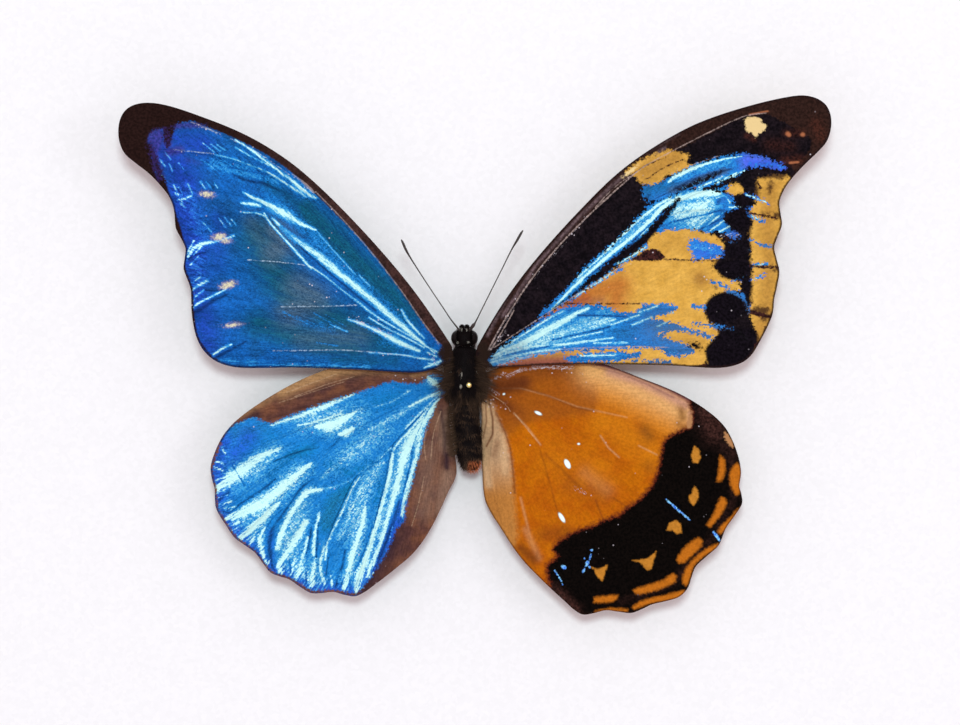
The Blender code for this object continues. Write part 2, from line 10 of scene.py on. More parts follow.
import bmesh
import bpy
import numpy as np
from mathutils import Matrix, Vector, geometry
from mathutils.bvhtree import BVHTree


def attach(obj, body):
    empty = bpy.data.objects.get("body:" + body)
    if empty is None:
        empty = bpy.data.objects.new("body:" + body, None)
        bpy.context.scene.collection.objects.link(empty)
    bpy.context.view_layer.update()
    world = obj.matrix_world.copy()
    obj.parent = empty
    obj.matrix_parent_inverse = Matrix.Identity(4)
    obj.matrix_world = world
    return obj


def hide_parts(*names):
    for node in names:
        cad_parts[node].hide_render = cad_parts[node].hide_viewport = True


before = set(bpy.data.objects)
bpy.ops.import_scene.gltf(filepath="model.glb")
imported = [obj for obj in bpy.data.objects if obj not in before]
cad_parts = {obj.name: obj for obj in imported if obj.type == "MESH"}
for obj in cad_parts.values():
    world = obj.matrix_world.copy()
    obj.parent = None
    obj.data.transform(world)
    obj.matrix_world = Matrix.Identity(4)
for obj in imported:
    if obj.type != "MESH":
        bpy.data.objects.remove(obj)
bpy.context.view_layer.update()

MM = 0.001  # metres in a millimetre

# Wings
WING_THICKNESS = 0.12
UPPER_SPACING = 0.125  # of the mesh's corners on a wing's upper face, which carries the fine markings
UNDER_SPACING = 0.4
RIM_STEP = 0.22
VEIN_HALF_WIDTH = 0.15
VEIN_HEIGHT = 0.09
UNDER_VEIN_REACH = 0.4  # how far from a vein the underside is darker
SMOOTHING_ROUNDS = 90  # that take the CAD model's flat facets out of a wing's surface
PLEAT_HEIGHT = 0.03  # of the fine folds that fan out from a wing's root
FAR = 3.0  # beyond this distance from a marking, its exact distance doesn't matter
FIRM_LAYERS = (  # markings with a firm edge, kept as distances, unlike the soft tints
    "brown", "cream", "pale", "ochre", "blue", "black", "umber_marks", "spots", "crescents", "frost", "anal",
    "flecks",
)

STRAND_SIDES = 3  # of each hair
STRAND_RINGS = ((0.0, 1.0), (0.4, 0.85), (0.75, 0.55))  # shares of its length, and of its width there
STRAND_CORNERS = STRAND_SIDES * len(STRAND_RINGS) + 1
STRAND_UNEVENNESS = 0.25  # of the ways that the hairs of a coat point
BRISTLE_LENGTH, BRISTLE_WIDTH = 0.2, 0.012

# Camera and light
PHOTO_WIDTH, PHOTO_HEIGHT = 960, 725  # pixels of the image
PIXEL = 0.12  # millimetres that a pixel covers at the height of the wings
PIN_PIXEL = (469, 385)  # where the pin's head stands in the image
WING_LEVEL = 6.5
CAMERA_HEIGHT = 560.0  # above the wings
SENSOR = 36.0


# Outlines and lines ----------------------------------------------------------------------------------------


def smooth_line(points, step, closed=False):
    """Points about step apart on a smooth curve through the given ones. A point may have more than two
    values, such as a height or a width, which the curve carries along."""
    p = np.array(points, float)
    if closed:
        padded = np.vstack([p[-1], p, p[:2]])
    else:
        padded = np.vstack([2 * p[0] - p[1], p, 2 * p[-1] - p[-2]])
    made = []
    for a, b, c, d in zip(padded, padded[1:], padded[2:], padded[3:]):
        count = max(1, round(np.linalg.norm((c - b)[:2]) / step))
        for t in np.arange(count) / count:
            square = (2 * a - 5 * b + 4 * c - d) * t**2
            cube = (3 * b - a - 3 * c + d) * t**3
            made.append(0.5 * (2 * b + (c - a) * t + square + cube))
    if not closed:
        made.append(p[-1])
    return np.array(made)


def nearest_on(places, line):
    """For each place, the distance to a line of joined straight stretches, and the line's own further
    values, such as its width, at the nearest point."""
    distance = np.full(len(places), np.inf)
    value = np.zeros(len(places))
    for a, b in zip(line[:-1], line[1:]):
        along = b[:2] - a[:2]
        share = np.clip((places - a[:2]) @ along / max(along @ along, 1e-9), 0, 1)
        here = np.linalg.norm(places - a[:2] - share[:, None] * along, axis=1)
        closer = here < distance
        distance[closer] = here[closer]
        if line.shape[1] > 2:
            value[closer] = (a[2] + share * (b[2] - a[2]))[closer]
    return distance, value


def inside(places, outline):
    """Which places the closed outline holds."""
    x, y = places.T
    held = np.zeros(len(places), bool)
    for (ax, ay), (bx, by) in zip(outline, np.roll(outline, -1, 0)):
        crosses = (ay > y) != (by > y)
        held ^= crosses & (x < (bx - ax) * (y - ay) / (by - ay if by != ay else 1) + ax)
    return held


def smooth_step(low, high, values):
    t = np.clip((values - low) / (high - low), 0, 1)
    return t * t * (3 - 2 * t)


# Markings. Each one is a function that says how deep inside it a place is, in millimetres, and is below zero
# outside. A wing's layer is the deepest of its markings, and its material paints where that is above zero.


def near(places, points, reach=FAR):
    """Which places lie close enough to the points' box for an exact distance."""
    low, high = points[:, :2].min(0) - reach, points[:, :2].max(0) + reach
    return np.all((places > low) & (places < high), axis=1)


def points_of(numbers, size):
    """The numbers as points of this many values each."""
    return np.array(numbers, float).reshape(-1, size)


def patch(*numbers):
    """A filled shape with the given points (x, y) on its edge."""
    edge = smooth_line(points_of(numbers, 2), 0.5, closed=True)
    closed = np.vstack([edge, edge[:1]])

    def depth(places):
        made = np.full(len(places), -FAR)
        close = near(places, edge)
        distance, _ = nearest_on(places[close], closed)
        made[close] = np.where(inside(places[close], edge), distance, -distance)
        return made

    return depth


def path_through(points, step):
    return smooth_line(points, step) if len(points) > 2 else points


def stroke(*numbers):
    """A line through points of (x, y, half width)."""
    line = path_through(points_of(numbers, 3), 0.6)

    def depth(places):
        made = np.full(len(places), -FAR)
        close = near(places, line)
        distance, width = nearest_on(places[close], line)
        made[close] = width - distance
        return made

    return depth


def line(half_width, *numbers):
    """A line of one width through points of (x, y)."""
    return stroke(*[(x, y, half_width) for x, y in points_of(numbers, 2)])


def oval(x, y, along, across, turn=0.0):
    """An ellipse with its half lengths, turned by some degrees."""
    angle = math.radians(turn)
    axes = np.array([[math.cos(angle), math.sin(angle)], [-math.sin(angle), math.cos(angle)]])

    def depth(places):
        u, v = (axes @ (places - (x, y)).T) / np.array([[along], [across]])
        return np.clip((1 - np.hypot(u, v)) * min(along, across), -FAR, None)

    return depth


def glow(strength, *marks):
    """Soft light on a wing: strokes whose brightness falls off from their middle line."""

    def brightness(places):
        made = np.zeros(len(places))
        for mark in marks:
            made = np.maximum(made, mark(places))
        return strength * made

    return brightness


def brush(*numbers):
    """A soft line through points of (x, y, half width): 1 along its middle, about a half at its sides, and
    fading slowly from there."""
    path = path_through(points_of(numbers, 3), 0.5)

    def brightness(places):
        made = np.zeros(len(places))
        close = near(places, path, 2.0)
        distance, width = nearest_on(places[close], path)
        share = distance / np.maximum(width, 1e-6)
        made[close] = np.minimum(1.15 / (1 + share**2.2), 1)
        return made

    return brightness


def dashes(width, *numbers):
    """Short straight brushes, each given by its two ends as (x, y, x, y)."""
    strokes = [brush(ax, ay, width, bx, by, width) for ax, ay, bx, by in points_of(numbers, 4)]
    return glow(1.0, *strokes)


def haze(strength, reach, *numbers):
    """A wide soft tint round a line through points of (x, y)."""
    path = points_of(numbers, 2)
    if len(path) == 1:
        path = np.vstack([path, path + 1e-3])

    def tint(places):
        distance, _ = nearest_on(places, path)
        return strength * np.exp(-((distance / reach) ** 2))

    return tint


# Each wing: where it leaves the body, its veins and its layers of markings, in the specimen's own frame.

# A wing's gleam layers are painted highlights, and its fold layers painted shade in the creases.
LEFT_FOREWING = {
    "root": (-3, 3.8),
    "base": [
        haze(1.4, 0.5, -2.2, 1.6, -3.2, 2.1, -2.6, 2.9, -3.3, 3.7, -2.7, 4.7),
        haze(1.6, 0.7, -1.9, 2, -2.1, 4.4), haze(2.4, 0.5, -2.7, 3.3, -2.6, 4.5),
    ],
    "rings": [(-27.5, 24.5, 1.3), (-29.5, 17, 0.8), (-28.8, 12, 0.8), (-28.3, 7, 1.5)],
    "veins": [
        (-3.6, 4.6, -5.3, 6.6, -7.5, 10.5, -9.9, 14, -12.9, 17.3, -16.2, 20.5, -18.7, 23, -23.9, 27,
            -28.8, 29.7, -33.2, 31.6, -38.5, 32.5),
        (-19.5, 22.5, -21.7, 24.2, -24.4, 25.7, -26.6, 26.6, -29.4, 27.3, -32.4, 27.8, -37.1, 28.1,
            -41.4, 28.2), (-19, 22.9, -22.5, 25.4, -26.3, 28.2, -29.5, 30),
        (-3.8, 3.3, -6.3, 4.9, -8.8, 6.4, -11.2, 7.9, -13.2, 9.6, -15.4, 11.3, -18.4, 14, -20.9, 16.7,
            -22.5, 18.5, -23.9, 20, -25, 20.5, -27.7, 20.75, -35.1, 19.6),
        (-18.4, 14, -20.6, 14.5, -24.5, 14.85, -27.2, 14.9, -33.9, 14),
        (-13.2, 9.6, -16.7, 9.4, -19.5, 9.4, -25, 9.2, -33.1, 8.9),
        (-3.9, 3.1, -5.7, 3.35, -9.9, 3.75, -14, 4, -19.5, 4.1, -25, 4.3, -32.1, 4.9),
        (-24, 21.4, -27, 22.7, -31, 23.4, -36.2, 23.4),
    ],
    "brown": [
        patch(-1, 3.6, -3, 4.6, -4.3, 5.8, -5.8, 7.8, -7.7, 10.6, -9.5, 13.1, -11.4, 15.6, -13.6, 18.1,
            -15.9, 20.4, -18.2, 22.7, -21.3, 25.5, -24.6, 27.8, -28.4, 29.7, -31.8, 31.1, -33.4, 31.6,
            -35.3, 31.2, -36.6, 30.8, -38.3, 30.2, -38.4, 29.1, -37.9, 28, -37.7, 26.7, -37.4, 25.3,
            -36.7, 23.9, -35.9, 22, -39.5, 22.5, -44, 26, -45, 31, -42, 36, -34, 35.5, -26, 31.5, -16, 25,
            -6, 13, -1, 6),
        stroke(-35.9, 31.2, 0.7, -36.05, 30.2, 0.6, -36.1, 29.3, 0.45, -36.1, 28.5, 0.1),
        stroke(-38.4, 28.6, 0.5, -37.6, 26.9, 0.3, -37, 24.9, 0.45, -36.3, 23.1, 0.36),
        stroke(-36.3, 23.1, 0.36, -35.5, 20.6, 0.34, -34.9, 18.7, 0.36, -34.1, 16.4, 0.16),
        stroke(-34.1, 16.4, 0.16, -34.15, 14, 0.16, -33.3, 11.6, 0.14, -33.2, 8.9, 0.2),
        stroke(-33.2, 8.9, 0.2, -32.6, 5.8, 0.12, -31, 3.4, 0.14),
        stroke(-31, 3.3, 0.1, -27.7, 2.1, 0.06, -20.9, 2.1, 0.05, -12.6, 1.8, 0.05),
    ],
    "dusk": [
        haze(0.8, 0.5, -31.5, 31.2, -34.5, 31.1, -36.5, 30.7), haze(1.1, 1.1, -37.4, 30, -37.9, 28.6),
        haze(1.1, 0.7, -37.9, 27.6, -37.1, 24.8), haze(1, 0.6, -36.1, 30.6, -36.1, 28.9),
        haze(0.7, 0.7, -36, 27.9, -34.6, 28.2), haze(0.4, 0.6, -33.6, 27, -32.4, 26.6),
    ],
    "cream": [
        oval(-31.4, 22.85, 0.62, 0.26, -6), oval(-30, 17.75, 0.66, 0.34, 8), oval(-29.2, 17.3, 0.4, 0.2),
        oval(-28.8, 12.05, 0.72, 0.34, 12), oval(-29.4, 11.75, 0.4, 0.22, -10),
        oval(-28.3, 7.2, 0.6, 0.17, 6),
    ],
    # Painted highlights: bright streaks where the scales mirror the light
    "gleam": [
        glow(1,
            brush(-27.1, 23.1, 0.08, -26, 22.5, 0.16, -24.7, 21.9, 0.22, -23.3, 21.2, 0.4,
                -21.7, 20.3, 0.42, -20.5, 19.5, 0.28, -18.4, 18.6, 0.1),
            brush(-23.6, 20, 0.1, -22.1, 18.5, 0.2, -20.4, 17.1, 0.3, -18.4, 15.7, 0.4, -16.5, 14.2, 0.44,
                -14.8, 12.8, 0.4, -13.1, 11.4, 0.38, -11.4, 10, 0.36, -9.7, 8.5, 0.36, -8, 7.1, 0.3,
                -6.5, 5.8, 0.22, -5.1, 4.6, 0.12),
            brush(-14.5, 7.9, 0.08, -13.1, 7.4, 0.14, -11.9, 6.9, 0.16, -10.5, 6.2, 0.22, -9.1, 5.5, 0.32,
                -7.7, 4.8, 0.28, -6, 4.1, 0.16),
            brush(-24.6, 20.6, 0.1, -23.8, 19.4, 0.1, -22.4, 17.8, 0.1, -21, 16.3, 0.12, -19.6, 14.7, 0.13,
                -18.9, 14, 0.1),
            brush(-28, 29.4, 0.08, -26.3, 28.3, 0.1, -24.4, 26.9, 0.13, -22.5, 25.4, 0.16, -20.8, 24.2, 0.2,
                -19.3, 22.9, 0.24, -18.3, 22.4, 0.1),
            brush(-27.3, 21.8, 0.1, -26.1, 21.7, 0.2, -25, 21.5, 0.14),
            brush(-33.7, 15.3, 0.14, -33.1, 16.3, 0.2, -32.2, 16.9, 0.2, -31, 17.1, 0.16),
            dashes(0.1, -33.8, 15.8, -33, 17.3, -33, 15.6, -31.8, 17, -33.9, 14.9, -33.2, 15.9),
            brush(-33.1, 9.3, 0.12, -32.1, 10, 0.13, -30.5, 10.8, 0.12, -29.2, 11.5, 0.1),
            brush(-30.7, 3.6, 0.1, -29.7, 4.3, 0.13, -28.5, 4.85, 0.1)),
        glow(0.85,
            brush(-31, 17.1, 0.2, -30.2, 17.25, 0.14, -28.2, 17.9, 0.12),
            brush(-27.4, 20.7, 0.07, -25.5, 20.6, 0.09, -24.6, 20.3, 0.12),
            brush(-25, 25.9, 0.08, -23.3, 25.05, 0.1, -21.4, 23.8, 0.12, -19.6, 22.6, 0.14),
            brush(-19, 14.2, 0.1, -17.1, 12.9, 0.08, -15.1, 11.3, 0.08, -13.1, 9.8, 0.1),
            brush(-13.1, 9.8, 0.12, -11.2, 8.3, 0.12, -8.7, 6.8, 0.1, -5.6, 5, 0.1, -4.2, 3.9, 0.1),
            brush(-12, 8.1, 0.1, -10, 6.9, 0.1, -7.6, 5.7, 0.1, -5.4, 4.5, 0.1),
            brush(-8.1, 9, 0.1, -7.4, 7.8, 0.16, -6.4, 6.6, 0.14, -5.4, 5.6, 0.1),
            brush(-33.3, 11.3, 0.12, -32.4, 12, 0.2, -31.4, 12.5, 0.18),
            brush(-12, 3.85, 0.05, -8.4, 3.65, 0.08, -5.7, 3.2, 0.12, -4.3, 3, 0.12),
            brush(-5.4, 2.1, 0.1, -4.2, 2.5, 0.16, -3.4, 2.9, 0.16),
            brush(-34.9, 22.2, 0.12, -34.1, 22.3, 0.14, -33.2, 22.7, 0.1),
            dashes(0.1, -5, 3.9, -3.9, 3.4, -4.6, 4.4, -3.7, 3.9, -4.9, 2.6, -3.6, 2.4)),
        glow(0.7,
            brush(-30.4, 27.6, 0.08, -28.3, 27.1, 0.08, -26.4, 26.4, 0.08, -25, 25.9, 0.08),
            brush(-28, 28.5, 0.07, -26.1, 27.4, 0.08, -23.9, 26.3, 0.07),
            brush(-18.4, 18.6, 0.08, -16.4, 16.3, 0.08, -13.6, 13.2, 0.07),
            dashes(0.1, -35.4, 24, -34.8, 22.8, -34.8, 23.7, -34.3, 22.9, -33.7, 24.1, -33.1, 22.9,
                -32.2, 24.4, -31.6, 23.5, -35.2, 23, -34.3, 21.9, -34.6, 21.8, -34, 21.2,
                -37, 27, -36.4, 26.2, -33, 12.4, -32.2, 13, -32.9, 10.6, -31.8, 11.4,
                -13.2, 13.2, -11.9, 11.9, -33.4, 14.4, -32.4, 15.5, -33.2, 10, -32.4, 11),
            dashes(0.07, -31.5, 24.4, -30.9, 23.6, -30.5, 24.2, -30.1, 23.6, -37.1, 25.4, -36.6, 24.9,
                -31.9, 29, -30.5, 27.9, -31, 28.9, -29.8, 28, -30.2, 28.8, -29.2, 28.1,
                -32.1, 27, -30.6, 26, -30, 20, -29.2, 18.9, -29.3, 20.1, -28.5, 19.1,
                -28.5, 19.9, -27.9, 19.1, -31.9, 19.5, -30.9, 18.4, -16.8, 7.3, -14.6, 6.4,
                -34.8, 26.6, -34.2, 25.9, -35.9, 26.5, -35.5, 25.6, -36.4, 27.9, -35.7, 27)),
        glow(0.35,
            haze(0.8, 1, -24, 22.3, -20, 19, -15, 13.8, -8.5, 8),
            haze(1, 1.2, -30.5, 26.6, -26, 25.2, -23.5, 24.2),
            haze(0.8, 1.3, -34, 23.4, -32, 18, -32.6, 13), haze(0.7, 1.2, -10, 5.5, -5, 3.6),
            haze(0.5, 0.8, -22, 8.6, -16.5, 6.7),
            dashes(0.07, -22.4, 8.8, -19.4, 7.4, -21.4, 8.8, -18.4, 7.2, -20.2, 9, -16.4, 6.9,
                -18.6, 8.6, -15.4, 6.8, -17.2, 8.4, -14.8, 7, -18.3, 5.1, -15.8, 4.7),
            haze(1, 0.35, -30, 2.9, -22, 2.4, -12, 2.1)),
    ],
    # Painted shade in the creases of the folds
    "fold_shade": [
        brush(-28.3, 25.2, 0.08, -26.6, 24.5, 0.16, -24.7, 24.2, 0.2, -22.8, 23.3, 0.12),
        brush(-22.6, 19, 0.08, -19.5, 15.9, 0.1, -16.7, 13.4, 0.1, -13.9, 11.1, 0.1, -11.2, 8.9, 0.1),
        brush(-33, 8.6, 0.3, -32, 9.2, 0.3, -30.9, 9.95, 0.24, -29, 10.9, 0.16),
        brush(-31.6, 11.4, 0.1, -30.4, 11.3, 0.1, -29.4, 11.5, 0.08),
        brush(-30.6, 3.1, 0.14, -29.6, 3.7, 0.2, -28.4, 4.3, 0.18, -26.8, 5.2, 0.1),
        brush(-33.9, 15, 0.14, -32.8, 15.6, 0.12, -31.6, 15.9, 0.1),
        glow(0.6,
            dashes(0.08, -22.1, 9.1, -18.2, 7.4, -20.4, 9.1, -16.5, 7.1, -17.6, 8.5, -14.8, 6.8,
                -25, 9.1, -22.4, 8, -28.6, 26.1, -24.2, 25.2, -27.4, 3.6, -19, 2.9, -29.6, 2.7, -22, 2.6,
                -27.2, 5.2, -25.2, 5.4)),
        haze(0.3, 0.3, -26, 23.6, -29, 24.1, -33, 25.4), haze(0.4, 0.6, -35.4, 29.8, -35, 28.2),
        haze(0.3, 0.8, -34, 27.2, -32, 26.6),
    ],
    "teal": [
        haze(1, 2.6, -25.2, 18, -23.6, 14.6, -21.5, 10.8), haze(0.9, 2.2, -21, 10.6, -15, 7.2, -9.5, 4.6),
        haze(0.9, 2, -25, 7.4, -20, 5.6, -14, 4.6),
        haze(1, 1.9, -19.5, 20.8, -14.5, 15.8, -10, 11.2, -7.6, 8.2), haze(0.6, 1, -24, 24.2, -20, 21.3),
        haze(0.6, 1, -16, 3.1, -9, 2.8), haze(0.5, 1.2, -29, 20.5, -27.5, 17),
    ],
    "grey": [
        haze(0.9, 1.5, -23.2, 18.6, -22, 17, -23.5, 16),
        haze(0.8, 1.8, -20.5, 11.8, -18.5, 10.4, -21.5, 8.5), haze(0.5, 1.3, -20, 5.5, -13, 5.8),
        haze(0.4, 1.2, -26, 19.6, -24, 16),
    ],
    "violet": [
        haze(1, 2.6, -37, 28.5, -34.5, 25, -34.5, 20, -33, 15.5),
        haze(0.8, 2, -33, 15.5, -32.5, 10, -31.5, 5), haze(0.8, 1.8, -35.5, 29.5, -32, 28.8),
        haze(0.5, 1.6, -30, 20, -30.5, 14.5),
    ],
    "dust": [
        haze(0.9, 0.2, -4.25, 5.75, -3.6, 4.7, -3, 3.8), haze(1, 0.5, -14, 8, -12, 7, -9.4, 6),
        haze(0.8, 0.35, -20.9, 24.9, -18.8, 23.2), haze(0.7, 0.3, -33.3, 31.5, -29.5, 29.9),
        haze(0.4, 0.4, -12, 3.7, -6, 3.2), haze(0.9, 0.5, -4.2, 3.2, -3.4, 2.2),
        haze(0.3, 1.2, -19.5, 11.5, -14, 9),
    ],
    "pale": [
        line(0.07, -33.3, 31.5, -31.7, 30.9, -30.2, 30.2), line(0.05, -35.4, 28.2, -30.6, 27.7),
        line(0.05, -28.6, 29.5, -25.4, 27.9, -21.5, 25.2),
        stroke(-21.2, 25.3, 0.05, -20.1, 24.5, 0.12, -19, 23.5, 0.16, -18.6, 23.1, 0.1),
        line(0.06, -18.4, 23.2, -15, 19.7, -11.2, 15.3, -7.9, 11, -5.7, 7.8, -3.6, 5),
        line(0.05, -26.5, 15, -24, 14.85, -20.6, 14.5, -18.6, 14.1),
        line(0.05, -22.5, 9.4, -19.5, 9.42, -16.7, 9.45, -13.4, 9.6),
        line(0.05, -23.5, 4.1, -19.5, 4.15, -15.3, 4.2, -11, 3.9, -7, 3.45),
    ],
}

